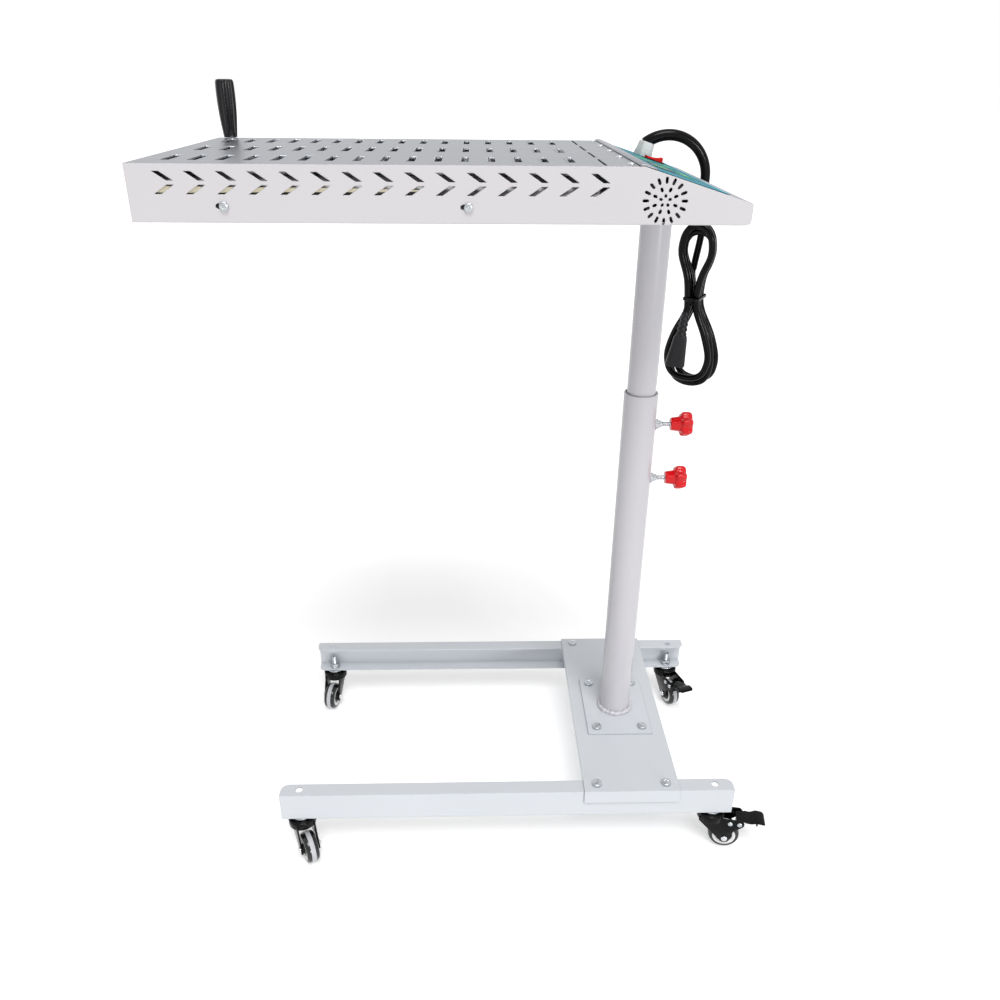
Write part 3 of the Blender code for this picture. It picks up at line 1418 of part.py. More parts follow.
def make_rocker():
    """A snap-in rocker switch: a black body with a rim, and the red key that tips in it."""
    frame = slope_matrix(CONTROL_ALONG, ROCKER_Y)
    body = bmesh.new()
    half_x = ROCKER_BODY_LENGTH / 2
    half_y = ROCKER_BODY_WIDTH / 2
    block(body, (-half_x, -half_y, -ROCKER_BODY), (half_x, half_y, ROCKER_RIM / 2))
    move(body, frame)
    bezel = add_object("rocker_body", body, BLACK_PLASTIC, head)
    rim = bmesh.new()
    half_x = ROCKER_LENGTH / 2
    half_y = ROCKER_WIDTH / 2
    loops = [
        rounded_rectangle(half_x, half_y, ROCKER_RIM, 2, GAP),
        rounded_rectangle(half_x, half_y, ROCKER_RIM, 2, ROCKER_RIM * 0.6),
        rounded_rectangle(
            half_x - ROCKER_RIM / 3, half_y - ROCKER_RIM / 3, ROCKER_RIM, 2, ROCKER_RIM
        ),
    ]
    loft(rim, loops)
    move(rim, frame)
    join_body(bezel, add_cutter("rocker_rim", rim, head))
    pocket = bmesh.new()
    half_x = ROCKER_OPEN_LENGTH / 2
    half_y = ROCKER_OPEN_WIDTH / 2
    block(pocket, (-half_x, -half_y, ROCKER_FLOOR - ROCKER_BODY), (half_x, half_y, ROCKER_RIM + CUT_OVER))
    move(pocket, frame)
    cut(bezel, add_cutter("rocker_pocket", pocket, head))
    tilt = Matrix.Rotation(-math.radians(ROCKER_TILT), 4, "Y")
    key = bmesh.new()
    half = ROCKER_KEY_HALF
    top = ROCKER_KEY_TOP
    dip = ROCKER_KEY_DIP
    low = -ROCKER_KEY_BELOW
    outline = [
        (-half * 0.35, low - ROCKER_KEY_BELOW),
        (half * 0.35, low - ROCKER_KEY_BELOW),
        (half, low),
        (half, top - dip * 0.5),
        (half - dip * 0.7, top),
        (half * 0.45, top - dip * 0.6),
        (0, top - dip),
        (-half * 0.45, top - dip * 0.6),
        (dip * 0.7 - half, top),
        (-half, top - dip * 0.5),
        (-half, low),
    ]
    wide = ROCKER_OPEN_WIDTH / 2 - RUN_CLEAR
    prism(key, outline, -wide, wide)
    move(key, tilt)
    rocker_axis = make_empty("rocker_axis", head)
    rocker_axis.matrix_local = slope_matrix(CONTROL_ALONG, ROCKER_Y, ROCKER_RIM / 2)
    add_object("rocker_key", key, RED_PLASTIC, rocker_axis, smooth=30)


def make_gland():
    """A cable gland on the slope: a locknut inside, a hex collar and a domed cap outside."""
    thread = GLAND_THREAD_DIA / 2
    under = -SKIN - GAP
    loops = [
        hexagon(GLAND_HEX, GLAND_STEPS, under - GLAND_NUT_HEIGHT),
        hexagon(GLAND_HEX, GLAND_STEPS, under),
        circle(thread, GLAND_STEPS, under),
        circle(thread, GLAND_STEPS, GAP),
        hexagon(GLAND_HEX, GLAND_STEPS, GAP),
        hexagon(GLAND_HEX, GLAND_STEPS, GLAND_HEX_HEIGHT),
        circle(GLAND_DOME_DIA / 2, GLAND_STEPS, GLAND_HEX_HEIGHT),
        circle(GLAND_TIP_DIA / 2, GLAND_STEPS, GLAND_HEIGHT),
    ]
    bm = bmesh.new()
    loft(bm, loops)
    move(bm, slope_matrix(GLAND_ALONG, GLAND_Y))
    add_object("cable_gland", bm, GLAND_NYLON, head, smooth=35)


# Mains lead: tapered sleeve over the end of the box, a short drop, the tied hank and its plug

GLAND_TOP = slope_matrix(GLAND_ALONG, GLAND_Y, GLAND_HEIGHT + GAP) @ Vector((0, 0, 0))
SLEEVE_CENTRE = Vector(
    (
        GLAND_TOP.x + SLEEVE_RADIUS * math.sin(math.radians(SLEEVE_START)),
        GLAND_Y,
        GLAND_TOP.z - SLEEVE_RADIUS * math.cos(math.radians(SLEEVE_START)),
    )
)


def make_sleeve():
    """The tapered sleeve: an arc that starts flat on the gland's oblique top and ends pointing down."""
    loops = []
    total = SLEEVE_RADIUS * math.radians(90 + SLEEVE_START)
    length = total + SLEEVE_STRAIGHT
    for i in range(SLEEVE_RINGS + 1):
        along = total * i / SLEEVE_RINGS
        a = math.radians(-SLEEVE_START) + along / SLEEVE_RADIUS
        centre = SLEEVE_CENTRE + SLEEVE_RADIUS * Vector((math.sin(a), 0, math.cos(a)))
        out = Vector((math.sin(a), 0, math.cos(a)))
        radius = (SLEEVE_DIA + (SLEEVE_TIP_DIA - SLEEVE_DIA) * along / length) / 2
        if i == 0:
            flat = Vector((math.cos(SLOPE_ANGLE), 0, -math.sin(SLOPE_ANGLE)))
            out = -flat / abs(flat.dot(out))
        loops.append(ring_round(centre, out, radius, SLEEVE_SIDES))
    end = SLEEVE_CENTRE + Vector((SLEEVE_RADIUS, 0, -SLEEVE_STRAIGHT))
    loops.append(ring_round(end, Vector((1, 0, 0)), SLEEVE_TIP_DIA / 2, SLEEVE_SIDES))
    bm = bmesh.new()
    loft(bm, loops)
    add_object("lead_sleeve", bm, RUBBER, head, smooth=60)
    return end


def ring_round(centre, out, radius, sides):
    """Points round a centre in the plane of Y and a given outward direction."""
    points = []
    for i in range(sides):
        a = math.tau * i / sides
        p = centre + out * (radius * math.cos(a)) + Vector((0, radius * math.sin(a), 0))
        points.append(tuple(p))
    return points


def tube_curve(name, points, diameter, resolution, material):
    """A round tube along points, with closed ends."""
    data = bpy.data.curves.new(name, "CURVE")
    data.dimensions = "3D"
    data.bevel_depth = diameter / 2
    data.bevel_resolution = resolution
    data.use_fill_caps = True
    data.resolution_u = 1
    data.render_resolution_u = 0
    spline = data.splines.new("POLY")
    spline.points.add(len(points) - 1)
    for target, p in zip(spline.points, points):
        target.co = (p[0], p[1], p[2], 1.0)
    data.materials.append(material)
    thing = bpy.data.objects.new(name, data)
    bpy.context.scene.collection.objects.link(thing)
    thing.parent = head
    return thing


def smooth_step(t):
    t = np.clip(t, 0.0, 1.0)
    return t * t * (3 - 2 * t)


HANK_LAYERS = HANK_TURNS
HANK_MIDDLE = (HANK_TOP + HANK_BOTTOM) / 2
HANK_REACH = (HANK_TOP - HANK_BOTTOM) / 2
HANK_BACK = HANK_LAYER * HANK_LAYERS / 2
HANK_Y = GLAND_Y - HANK_BACK * math.cos(math.radians(HANK_TURN))


def hank_half_width(heights):
    """Half the width of a loop at each height: wider below, drawn in at the tie."""
    low = np.clip((HANK_TOP - heights) / (HANK_TOP - HANK_BOTTOM), 0, 1)
    plain = HANK_TOP_HALF + (HANK_LOW_HALF - HANK_TOP_HALF) * low
    pinch = np.exp(-(np.abs((heights - HANK_WAIST) / HANK_WAIST_SPREAD) ** 3))
    return plain + (HANK_WAIST_HALF - plain) * pinch


def hank_place(u, v, heights):
    """From the hank's own plane (u across, v towards the operator) to the post's frame."""
    turn = math.radians(HANK_TURN)
    lean = np.minimum(HANK_WAIST - heights, HANK_WAIST - HANK_BOTTOM) * HANK_LEAN
    x = HANK_X + lean + u * math.cos(turn) - v * math.sin(turn)
    y = HANK_Y - u * math.sin(turn) - v * math.cos(turn)
    return np.stack([x, y, heights], axis=1)


def hank_line():
    """The hank's centreline as u, v and height: a lead-in, three long loops and a tail."""
    steps = np.arange(HANK_TURNS * HANK_POINTS + HANK_POINTS // 4 + 1)
    even = steps / HANK_POINTS * math.tau
    phase = even - HANK_CROWD * np.sin(2 * even)
    turn_index = np.minimum((even / math.tau).astype(int), HANK_TURNS)
    share = phase / math.tau - turn_index
    rise = np.interp(phase / math.tau, np.arange(HANK_TURNS + 1), HANK_RISES)
    sag = np.interp(phase / math.tau - 0.5, np.arange(HANK_TURNS + 1), HANK_SAGS)
    upper = 0.5 + 0.5 * np.cos(phase)
    heights = HANK_MIDDLE + HANK_REACH * np.cos(phase) + rise * upper - sag * (1 - upper)
    across = -np.tanh(HANK_ROUND * np.sin(phase)) / math.tanh(HANK_ROUND)
    fan = np.interp(phase / math.tau, np.arange(HANK_TURNS + 1), HANK_FAN_SHARES)
    u = across * hank_half_width(heights) + fan * (heights - HANK_WAIST)
    layer = turn_index + smooth_step((share - 0.56) / 0.38)
    v = layer * HANK_LAYER - HANK_BACK
    keep = steps >= HANK_POINTS // 4 - 1
    keep[-HANK_POINTS // 3 :] &= heights[-HANK_POINTS // 3 :] > PLUG_TOP + 1.6 * LEAD_DIA
    first = heights[keep][0]
    top = first + HANK_LEAD_IN
    t = np.arange(HANK_LEAD_POINTS) / HANK_LEAD_POINTS
    lead_u = u[keep][0] * smooth_step((t - 0.12) / 1.02)
    lead = np.stack([lead_u, np.full_like(t, -HANK_BACK), top + (first - top) * t], axis=1)
    loops = np.stack([u, v, heights], axis=1)[keep]
    return np.concatenate([lead, loops])


def plug_place():
    """The top of the plug's strain relief, with Z up its axis."""
    height = np.array([PLUG_TOP])
    u = HANK_FAN_SHARES[-1] * (height - HANK_WAIST) - HANK_WAIST_HALF
    top = hank_place(u, np.array([HANK_BACK]), height)[0]
    turn = Matrix.Rotation(-math.radians(PLUG_TURN), 4, "Z")
    lean = Matrix.Rotation(math.radians(PLUG_LEAN), 4, "Y")
    return Matrix.Translation(top) @ turn @ lean


def least_gap(points, diameter):
    """The least clear distance between stretches of the line that aren't neighbours."""
    dense = []
    for a, b in zip(points, points[1:]):
        count = max(int(np.linalg.norm(b - a) / (diameter / 4)), 1)
        dense += [a + (b - a) * i / count for i in range(count)]
    dense = np.array(dense)
    run = np.concatenate([[0], np.cumsum(np.linalg.norm(np.diff(dense, axis=0), axis=1))])
    apart = np.linalg.norm(dense[:, None] - dense[None], axis=2)
    apart[np.abs(run[:, None] - run[None]) < 4 * diameter] = np.inf
    return float(apart.min()) - diameter


def make_lead(sleeve_end, line):
    """The lead's drop from the sleeve, and its tied hank as one unbroken tube."""
    plug = plug_place()
    tail = [plug @ Vector((0, 0, GAP + LEAD_DIA)), plug @ Vector((0, 0, GAP))]
    hank = np.concatenate([hank_place(line[:, 0], line[:, 1], line[:, 2]), tail])
    start = hank[0]
    drop_top = np.array([sleeve_end.x, sleeve_end.y, sleeve_end.z - GAP])
    drop_low = np.array([start[0], start[1], start[2] + GAP])
    t = np.arange(DROP_POINTS) / (DROP_POINTS - 1)
    blend = smooth_step((t - 0.25) / 0.5)
    drop = np.stack(
        [
            drop_top[0] + (drop_low[0] - drop_top[0]) * blend,
            drop_top[1] + (drop_low[1] - drop_top[1]) * blend,
            drop_top[2] + (drop_low[2] - drop_top[2]) * t,
        ],
        axis=1,
    )
    tube_curve("lead_drop", drop, LEAD_DIA, 2, RUBBER)
    tube_curve("lead_hank", hank, LEAD_DIA, 1, RUBBER)
    length = sum(np.linalg.norm(b - a) for a, b in zip(hank, hank[1:]))
    print("hank length", round(float(length), 4), "drop", round(float(drop_top[2] - drop_low[2]), 4))
    print("hank least gap to itself in mm", round(least_gap(hank, LEAD_DIA) * 1000, 3))


def make_tie(line):
    """A flat tie round the hank's waist, as wide as the runs that pass through it."""
    turn = math.radians(HANK_TURN)
    reach_u = 0.0
    for a, b in zip(line, line[1:]):
        low, high = sorted((a[2], b[2]))
        if low < HANK_WAIST + TIE_BAND and high > HANK_WAIST - TIE_BAND:
            for height in (HANK_WAIST - TIE_BAND, HANK_WAIST + TIE_BAND):
                share = np.clip((height - a[2]) / (b[2] - a[2]), 0, 1)
                reach_u = max(reach_u, abs(a[0] + (b[0] - a[0]) * share))
    half_u = float(reach_u) + LEAD_DIA / 2 + 2 * GAP
    half_v = HANK_BACK + LEAD_DIA / 2 + 2 * GAP
    loops = []
    for grow, height in (
        (0, -TIE_BAND / 2),
        (TIE_SHEET, -TIE_BAND / 2),
        (TIE_SHEET, TIE_BAND / 2),
        (0, TIE_BAND / 2),
    ):
        loops.append(
            rounded_rectangle(half_u + grow, half_v + grow, TIE_CORNER + grow, 3, height)
        )
    bm = bmesh.new()
    loft(bm, loops, closed=True)
    place = Matrix.Translation((HANK_X, HANK_Y, HANK_WAIST)) @ Matrix.Rotation(-turn, 4, "Z")
    move(bm, place)
    add_object("hank_tie", bm, BLACK_PLASTIC, head, smooth=40)


def make_plug():
    """A moulded right-angle plug: ribbed strain relief, tapered body and three flat pins behind."""
    place = plug_place()
    bm = bmesh.new()
    loops = []
    for i in range(2 * PLUG_RIBS + 1):
        share = i / (2 * PLUG_RIBS)
        radius = (PLUG_RELIEF_DIA + (PLUG_RELIEF_WIDE - PLUG_RELIEF_DIA) * share) / 2
        if i % 2:
            radius -= PLUG_RIB_DEPTH
        loops.append(circle(radius, PLUG_STEPS, -share * PLUG_RELIEF))
    loft(bm, loops)
    plug = add_object("mains_plug", bm, RUBBER, head, smooth=35)
    plug.matrix_local = place
    body = bmesh.new()
    loops = []
    low = PLUG_CORNER - PLUG_RELIEF
    for grow, share in ((-0.25, 0.0), (0, 0.08), (1, 0.94), (0.86, 1.0)):
        half_x = (PLUG_WIDTH_TOP + (PLUG_WIDTH - PLUG_WIDTH_TOP) * grow) / 2
        half_y = (PLUG_THICK_TOP + (PLUG_THICK - PLUG_THICK_TOP) * grow) / 2
        loops.append(rounded_rectangle(half_x, half_y, PLUG_CORNER, 2, low - share * PLUG_BODY))
    loft(body, loops)
    joined = add_cutter("plug_body", body, head)
    joined.matrix_local = place
    join_body(plug, joined)
    pins = bmesh.new()
    middle = low - PLUG_BODY * 0.62
    back = PLUG_THICK_TOP / 2 - PLUG_CORNER / 2
    for x, z, flat in ((-1, 1, True), (1, 1, True), (0, -1, False)):
        wide = (PLUG_PIN_SHEET if flat else PLUG_PIN_WIDTH) / 2
        tall = (PLUG_PIN_WIDTH if flat else PLUG_PIN_SHEET) / 2
        cx = x * PLUG_PIN_SPREAD / 2
        cz = middle + z * PLUG_PIN_RISE / 2
        block(pins, (cx - wide, back, cz - tall), (cx + wide, back + PLUG_PIN_LENGTH, cz + tall))
    pin_set = add_cutter("plug_pins", pins, head)
    pin_set.matrix_local = place
    join_body(plug, pin_set)


# Handle


def make_handle():
    """A fluted taper grip that turns freely on a bolt through the top cover."""
    pivot = make_empty("handle_axis", head, (HANDLE_X, HANDLE_Y, HEAD_TOP))
    bolt_radius = HANDLE_BOLT_DIA / 2
    nut_top = -SKIN - GAP
    collar = HANDLE_FOOT_DIA / 2 * 0.9
    loops = [
        hexagon(HANDLE_NUT_FLATS, STEM_STEPS, nut_top - HANDLE_NUT_HEIGHT),
        hexagon(HANDLE_NUT_FLATS, STEM_STEPS, nut_top),
        circle(bolt_radius, STEM_STEPS, nut_top),
        circle(bolt_radius, STEM_STEPS, GAP),
        circle(collar, STEM_STEPS, GAP),
        circle(collar, STEM_STEPS, HANDLE_COLLAR),
        circle(bolt_radius, STEM_STEPS, HANDLE_COLLAR),
        circle(bolt_radius, STEM_STEPS, HANDLE_BOLT_RISE),
    ]
    bm = bmesh.new()
    loft(bm, loops)
    add_object("handle_bolt", bm, CHROME, pivot, smooth=40)
    foot = HANDLE_FOOT_DIA / 2
    full = HANDLE_DIA / 2
    base = HANDLE_COLLAR + GAP
    depth = HANDLE_FLUTE_DEPTH
    stations = [
        (foot, depth * 0.3, 0.0),
        ((foot + full) / 2 + depth, depth, 0.30),
        (full * 0.97, depth, 0.55),
        (full, depth, 0.76),
        (full * 0.96, depth, 0.92),
        (HANDLE_TOP_DIA / 2, depth * 0.3, 1.0),
    ]
    loops = [
        lobed(r, d, HANDLE_FLUTES, HANDLE_FLUTE_STEPS, base + share * HANDLE_LENGTH)
        for r, d, share in stations
    ]
    bm = bmesh.new()
    loft(bm, loops)
    grip = add_object("handle_grip", bm, BLACK_PLASTIC, pivot, smooth=40)
    radius = bolt_radius + GAP
    bore = turned_body([(radius, 0), (radius, HANDLE_BOLT_RISE + GAP)], STEM_STEPS)
    cut(grip, add_cutter("handle_bore", bore, pivot))


def place_origin():
    """Move the stand so that the middle of its footprint, without the lead, is the origin."""
    loose = ("lead_sleeve", "lead_drop", "lead_hank", "hank_tie", "mains_plug")
    bpy.context.view_layer.update()
    graph = bpy.context.evaluated_depsgraph_get()
    low = np.full(3, np.inf)
    high = np.full(3, -np.inf)
    for thing in bpy.data.objects:
        if thing.type != "MESH" or thing.hide_render or thing.name in loose:
            continue
        shape = thing.evaluated_get(graph)
        mesh = shape.to_mesh()
        points = np.empty(len(mesh.vertices) * 3)
        mesh.vertices.foreach_get("co", points)
        points = points.reshape(-1, 3)
        world = np.array(thing.matrix_world)
        points = points @ world[:3, :3].T + world[:3, 3]
        low = np.minimum(low, points.min(axis=0))
        high = np.maximum(high, points.max(axis=0))
        shape.to_mesh_clear()
    middle = (low + high) / 2
    stand.location = (-middle[0], -middle[1], -low[2])
    print("post axis", [round(float(v), 5) for v in stand.location])
    print("size", [round(float(v), 4) for v in high - low])


def print_axes():
    """Print each joint's place and axis, for whoever sets up the motion."""
    bpy.context.view_layer.update()
    for thing in bpy.data.objects:
        if thing.type == "EMPTY":
            world = thing.matrix_world
            place = [round(v, 5) for v in world.translation]
            y_axis = [round(v, 5) for v in world.to_3x3().col[1]]
            print("axis", thing.name, place, "y", y_axis)


make_rail("rail_near", -1)
make_rail("rail_far", 1)
make_cross_plate()
make_foot()
make_caster("near_left", STEM_XS[0], -1, SWIVEL_NEAR_LEFT)
make_caster("near_right", STEM_XS[1], -1, SWIVEL_NEAR_RIGHT, raised=0)
make_caster("far_left", STEM_XS[0], 1, SWIVEL_FAR_LEFT)
make_caster("far_right", STEM_XS[1], 1, SWIVEL_FAR_RIGHT, raised=PEDAL_RAISED)
make_lower_tube()
make_knob("upper", KNOB_HEIGHT_UPPER)
make_knob("lower", KNOB_HEIGHT_LOWER)
make_mast()
make_socket()
make_side_panel("side_panel_near", -1)
make_side_panel("side_panel_far", 1)
make_top_cover()
make_floor_and_bulkhead()
make_tray()
make_rack("tube_rack_left", RACK_LEFT, 1)
make_rack("tube_rack_right", RACK_RIGHT, -1)
for number, element_y in enumerate(QUARTZ_YS, start=1):
    make_element(number, element_y)
make_fan()
make_film()
make_rocker()
make_gland()
HANK_LINE = hank_line()
make_lead(make_sleeve(), HANK_LINE)
make_tie(HANK_LINE)
make_plug()
make_handle()
place_origin()
print_axes()
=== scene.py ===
# %% [markdown]
# # A flash dryer on a rolling stand
#
# A flash dryer is a workshop heater that screen printers swing over a shirt. A long, low steel
# head holds eight quartz lamps behind a reflector, and it sits on a telescopic post with two
# star knobs, on a base of two folded rails and four small casters. The model was first drawn as
# solids with joints. This lesson loads them, keeps the flat sheet parts with better finishes and
# replaces the round, wound and moulded parts with surfaces worked out by formula.

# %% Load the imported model
import json
import math

import bmesh
import bpy
import numpy as np
from mathutils import Matrix, Vector


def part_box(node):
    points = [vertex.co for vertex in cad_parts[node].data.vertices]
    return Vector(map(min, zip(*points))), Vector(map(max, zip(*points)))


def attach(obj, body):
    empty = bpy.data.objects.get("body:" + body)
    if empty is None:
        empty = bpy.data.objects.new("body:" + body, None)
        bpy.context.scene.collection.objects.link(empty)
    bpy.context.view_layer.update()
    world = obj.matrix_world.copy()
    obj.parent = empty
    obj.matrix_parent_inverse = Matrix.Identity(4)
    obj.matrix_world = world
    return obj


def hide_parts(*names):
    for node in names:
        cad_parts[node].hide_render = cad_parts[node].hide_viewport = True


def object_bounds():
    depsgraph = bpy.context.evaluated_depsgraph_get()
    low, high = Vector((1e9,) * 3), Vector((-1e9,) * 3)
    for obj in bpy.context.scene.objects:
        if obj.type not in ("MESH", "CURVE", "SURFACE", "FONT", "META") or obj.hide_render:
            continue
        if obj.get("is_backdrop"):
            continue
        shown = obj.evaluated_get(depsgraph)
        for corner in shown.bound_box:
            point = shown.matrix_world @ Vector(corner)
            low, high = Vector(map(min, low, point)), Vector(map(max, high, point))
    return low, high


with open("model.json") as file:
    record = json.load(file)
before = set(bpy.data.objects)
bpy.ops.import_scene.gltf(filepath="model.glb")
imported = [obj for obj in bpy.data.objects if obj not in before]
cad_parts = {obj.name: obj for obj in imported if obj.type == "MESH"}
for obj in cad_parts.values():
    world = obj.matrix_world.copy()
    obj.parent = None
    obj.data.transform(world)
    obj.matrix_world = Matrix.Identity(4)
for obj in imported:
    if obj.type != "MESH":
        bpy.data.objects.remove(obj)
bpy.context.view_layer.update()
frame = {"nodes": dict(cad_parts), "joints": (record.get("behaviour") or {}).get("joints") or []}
nodes = frame["nodes"]
joints = {joint["name"]: joint for joint in frame["joints"]}

# %% [markdown]
# ## Where things are
#
# The stand was drawn round its post, so every piece here is worked out from the post's axis and
# the floor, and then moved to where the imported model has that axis. The sizes of the head and its
# sloping control panel come up again and again, so they are named once.

# %% The post's axis and the main sizes, in metres
RAIL_BOTTOM, RAIL_TOP = 0.075, 0.123
FOOT_TOP = 0.1291
TUBE_RADIUS, MAST_RADIUS = 0.025, 0.021
HEAD_BOTTOM, HEAD_TOP = 0.972, 1.033
HEAD_LEFT, HEAD_HALF = -0.618, 0.196
SLOPE_TOP_X, SLOPE_ANGLE = -0.057, math.atan2(0.038, 0.124)
CLEAR = 0.0003

mast_low, mast_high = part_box("upper_tube")
rail_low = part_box("rail_near")[0]


def shift(x, y, z):
    """The matrix of a move."""
    return Matrix.Translation((x, y, z))


def spun(angle, axis):
    """The matrix of a turn about X, Y or Z, in radians."""
    return Matrix.Rotation(angle, 4, axis)


POST = shift((mast_low.x + mast_high.x) / 2, (mast_low.y + mast_high.y) / 2, rail_low.z - RAIL_BOTTOM)
ALONG_X = spun(math.pi / 2, "Y")
UPRIGHT = spun(-math.pi / 2, "X")
print("post axis", [round(v, 4) for v in POST.translation])


# %% [markdown]
# ## Camera and light
#
# The photograph was taken from a little above the head, almost square to the long side. A level
# camera tipped down by 26.5 degrees and a fairly wide lens bring the rails to the same slant. The
# light is a plain studio: a white world from all sides, a soft sun high over the camera and a weaker
# one low on the right, which lights what stands in the head's shadow and draws a thin line of
# light down the tubes and each strand of the lead. A colour renders about as it is written. The
# floor is white and keeps the shadow.


# %% Camera
def camera_turn(yaw, pitch, roll):
    """Rotation of a camera: yaw is off +Y towards +X, pitch above level, roll about the view."""
    ahead = Vector((math.sin(yaw) * math.cos(pitch), math.cos(yaw) * math.cos(pitch), math.sin(pitch)))
    right = Vector((math.cos(yaw), -math.sin(yaw), 0))
    up = right.cross(ahead)
    across = right * math.cos(roll) + up * math.sin(roll)
    above = -right * math.sin(roll) + up * math.cos(roll)
    return Matrix((across, above, -ahead)).transposed().to_4x4()


def new_object(name, data):
    """A new object in the scene, at the origin, unturned and unscaled."""
    thing = bpy.data.objects.new(name, data)
    bpy.context.scene.collection.objects.link(thing)
    return thing


LENS_MM, SENSOR_MM = 30.98, 36
CAMERA_PLACE, CAMERA_DEGREES = (-0.244, -1.188, 1.1245), (1.89, -26.5, 0.6)
camera_data = bpy.data.cameras.new("photo_camera")
camera_data.sensor_width = SENSOR_MM
camera_data.lens = LENS_MM
camera = new_object("photo_camera", camera_data)
camera.matrix_world = POST @ shift(*CAMERA_PLACE) @ camera_turn(*map(math.radians, CAMERA_DEGREES))
bpy.context.scene.camera = camera
bpy.context.scene.view_settings.view_transform = "Standard"
print("camera at", [round(v, 3) for v in camera.matrix_world.translation])


# %% Two small helpers for colours and nodes
def linear(code):
    """An sRGB hex code as linear RGBA: c / 12.92 below 0.04045, else ((c + 0.055) / 1.055) ^ 2.4."""
    c = np.array([int(code[i : i + 2], 16) for i in (1, 3, 5)]) / 255
    c = np.where(c <= 0.04045, c / 12.92, ((c + 0.055) / 1.055) ** 2.4)
    return (*c.tolist(), 1.0)


def add(tree, kind, values=None, links=None, **settings):
    """Add a node of a kind, with values on its sockets, links into them and its own settings."""
    item = tree.nodes.new("ShaderNode" + kind)
    for key, value in settings.items():
        setattr(item, key, value)
    for key, value in (values or {}).items():
        item.inputs[key].default_value = value
    for key, source in (links or {}).items():
        tree.links.new(source, item.inputs[key])
    return item


# %% World, suns and floor
def empty_tree(owner):
    """The node tree of a world or a material, with nothing in it."""
    owner.use_nodes = True
    owner.node_tree.nodes.clear()
    return owner.node_tree


def ray_kinds(tree, *kinds):
    """1 for rays of these kinds and 0 for all others: the largest of the light path's outputs."""
    rays = add(tree, "LightPath").outputs
    seen = rays[kinds[0]]
    for kind in kinds[1:]:
        seen = add(tree, "Math", links={0: seen, 1: rays[kind]}, operation="MAXIMUM").outputs[0]
    return seen


WORLD_LIGHT = 0.42
world = bpy.data.worlds.new("white_studio")
bpy.context.scene.world = world
tree = empty_tree(world)
seen = ray_kinds(tree, "Is Camera Ray", "Is Glossy Ray", "Is Transmission Ray")
level = add(tree, "MapRange", {"To Min": WORLD_LIGHT, "To Max": 1.0}, {"Value": seen})
sky = add(tree, "Background", {"Color": (1, 1, 1, 1)}, {"Strength": level.outputs[0]})
add(tree, "OutputWorld", links={"Surface": sky.outputs[0]})

# Each sun: its energy, its width and how far it is tipped from straight down, in degrees.
SUNS = {"high_sun": (1.66, 28, (28, 5, 0)), "low_sun": (0.78, 9, (84, 0, 28))}
for name, (energy, width, tip) in SUNS.items():
    sun = bpy.data.lights.new(name, "SUN")
    sun.energy = energy
    sun.angle = math.radians(width)
    new_object(name, sun).rotation_euler = [math.radians(v) for v in tip]

# The floor is matt white paper. A little light of its own, for the camera and for reflections
# alone, lifts the open floor to white and leaves the shadows on it.
FLOOR_LIFT, FLOOR_HALF = 0.38, 30
floor_mesh = bpy.data.meshes.new("studio_floor")
corners = [(x * FLOOR_HALF, y * FLOOR_HALF, 0) for x, y in ((-1, -1), (1, -1), (1, 1), (-1, 1))]
floor_mesh.from_pydata(corners, [], [(0, 1, 2, 3)])
floor = new_object("studio_floor", floor_mesh)
floor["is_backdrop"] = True
paper = bpy.data.materials.new("white_paper")
tree = empty_tree(paper)
seen = ray_kinds(tree, "Is Camera Ray", "Is Glossy Ray")
lift = add(tree, "Math", {1: FLOOR_LIFT}, {0: seen}, operation="MULTIPLY")
matt = add(tree, "BsdfDiffuse", {"Color": linear("#F7F7F7")})
own = add(tree, "Emission", {"Color": (1, 1, 1, 1)}, {"Strength": lift.outputs[0]})
both = add(tree, "AddShader", links={0: matt.outputs[0], 1: own.outputs[0]})
add(tree, "OutputMaterial", links={"Surface": both.outputs[0]})
floor_mesh.materials.append(paper)
print("world", WORLD_LIGHT, "suns", len(SUNS))


# %% [markdown]
# ## Turning arrays into meshes
#
# Every new piece is a grid of points: rows along the piece and columns round it. One function
# joins neighbouring points with four-sided faces, closes the ends and welds the poles, so each
# shape below only has to say where its points are.


# %% Grids to meshes
WELD_REACH, SLIVER = 2e-6, 1e-6
SIDES = (-1, 1)
SQUARE = np.array([(1, 1), (-1, 1), (-1, -1), (1, -1)])


def grid_faces(rows, columns, ring):
    """Faces between neighbours of a grid whose columns close round; its rows close too for a ring."""
    r = np.arange(rows if ring else rows - 1)[:, None]
    c = np.arange(columns)[None, :]
    after, beside = (r + 1) % rows, (c + 1) % columns
    faces = np.stack(
        [r * columns + c, r * columns + beside, after * columns + beside, after * columns + c],
        axis=-1,
    )
    return faces.reshape(-1, 4)


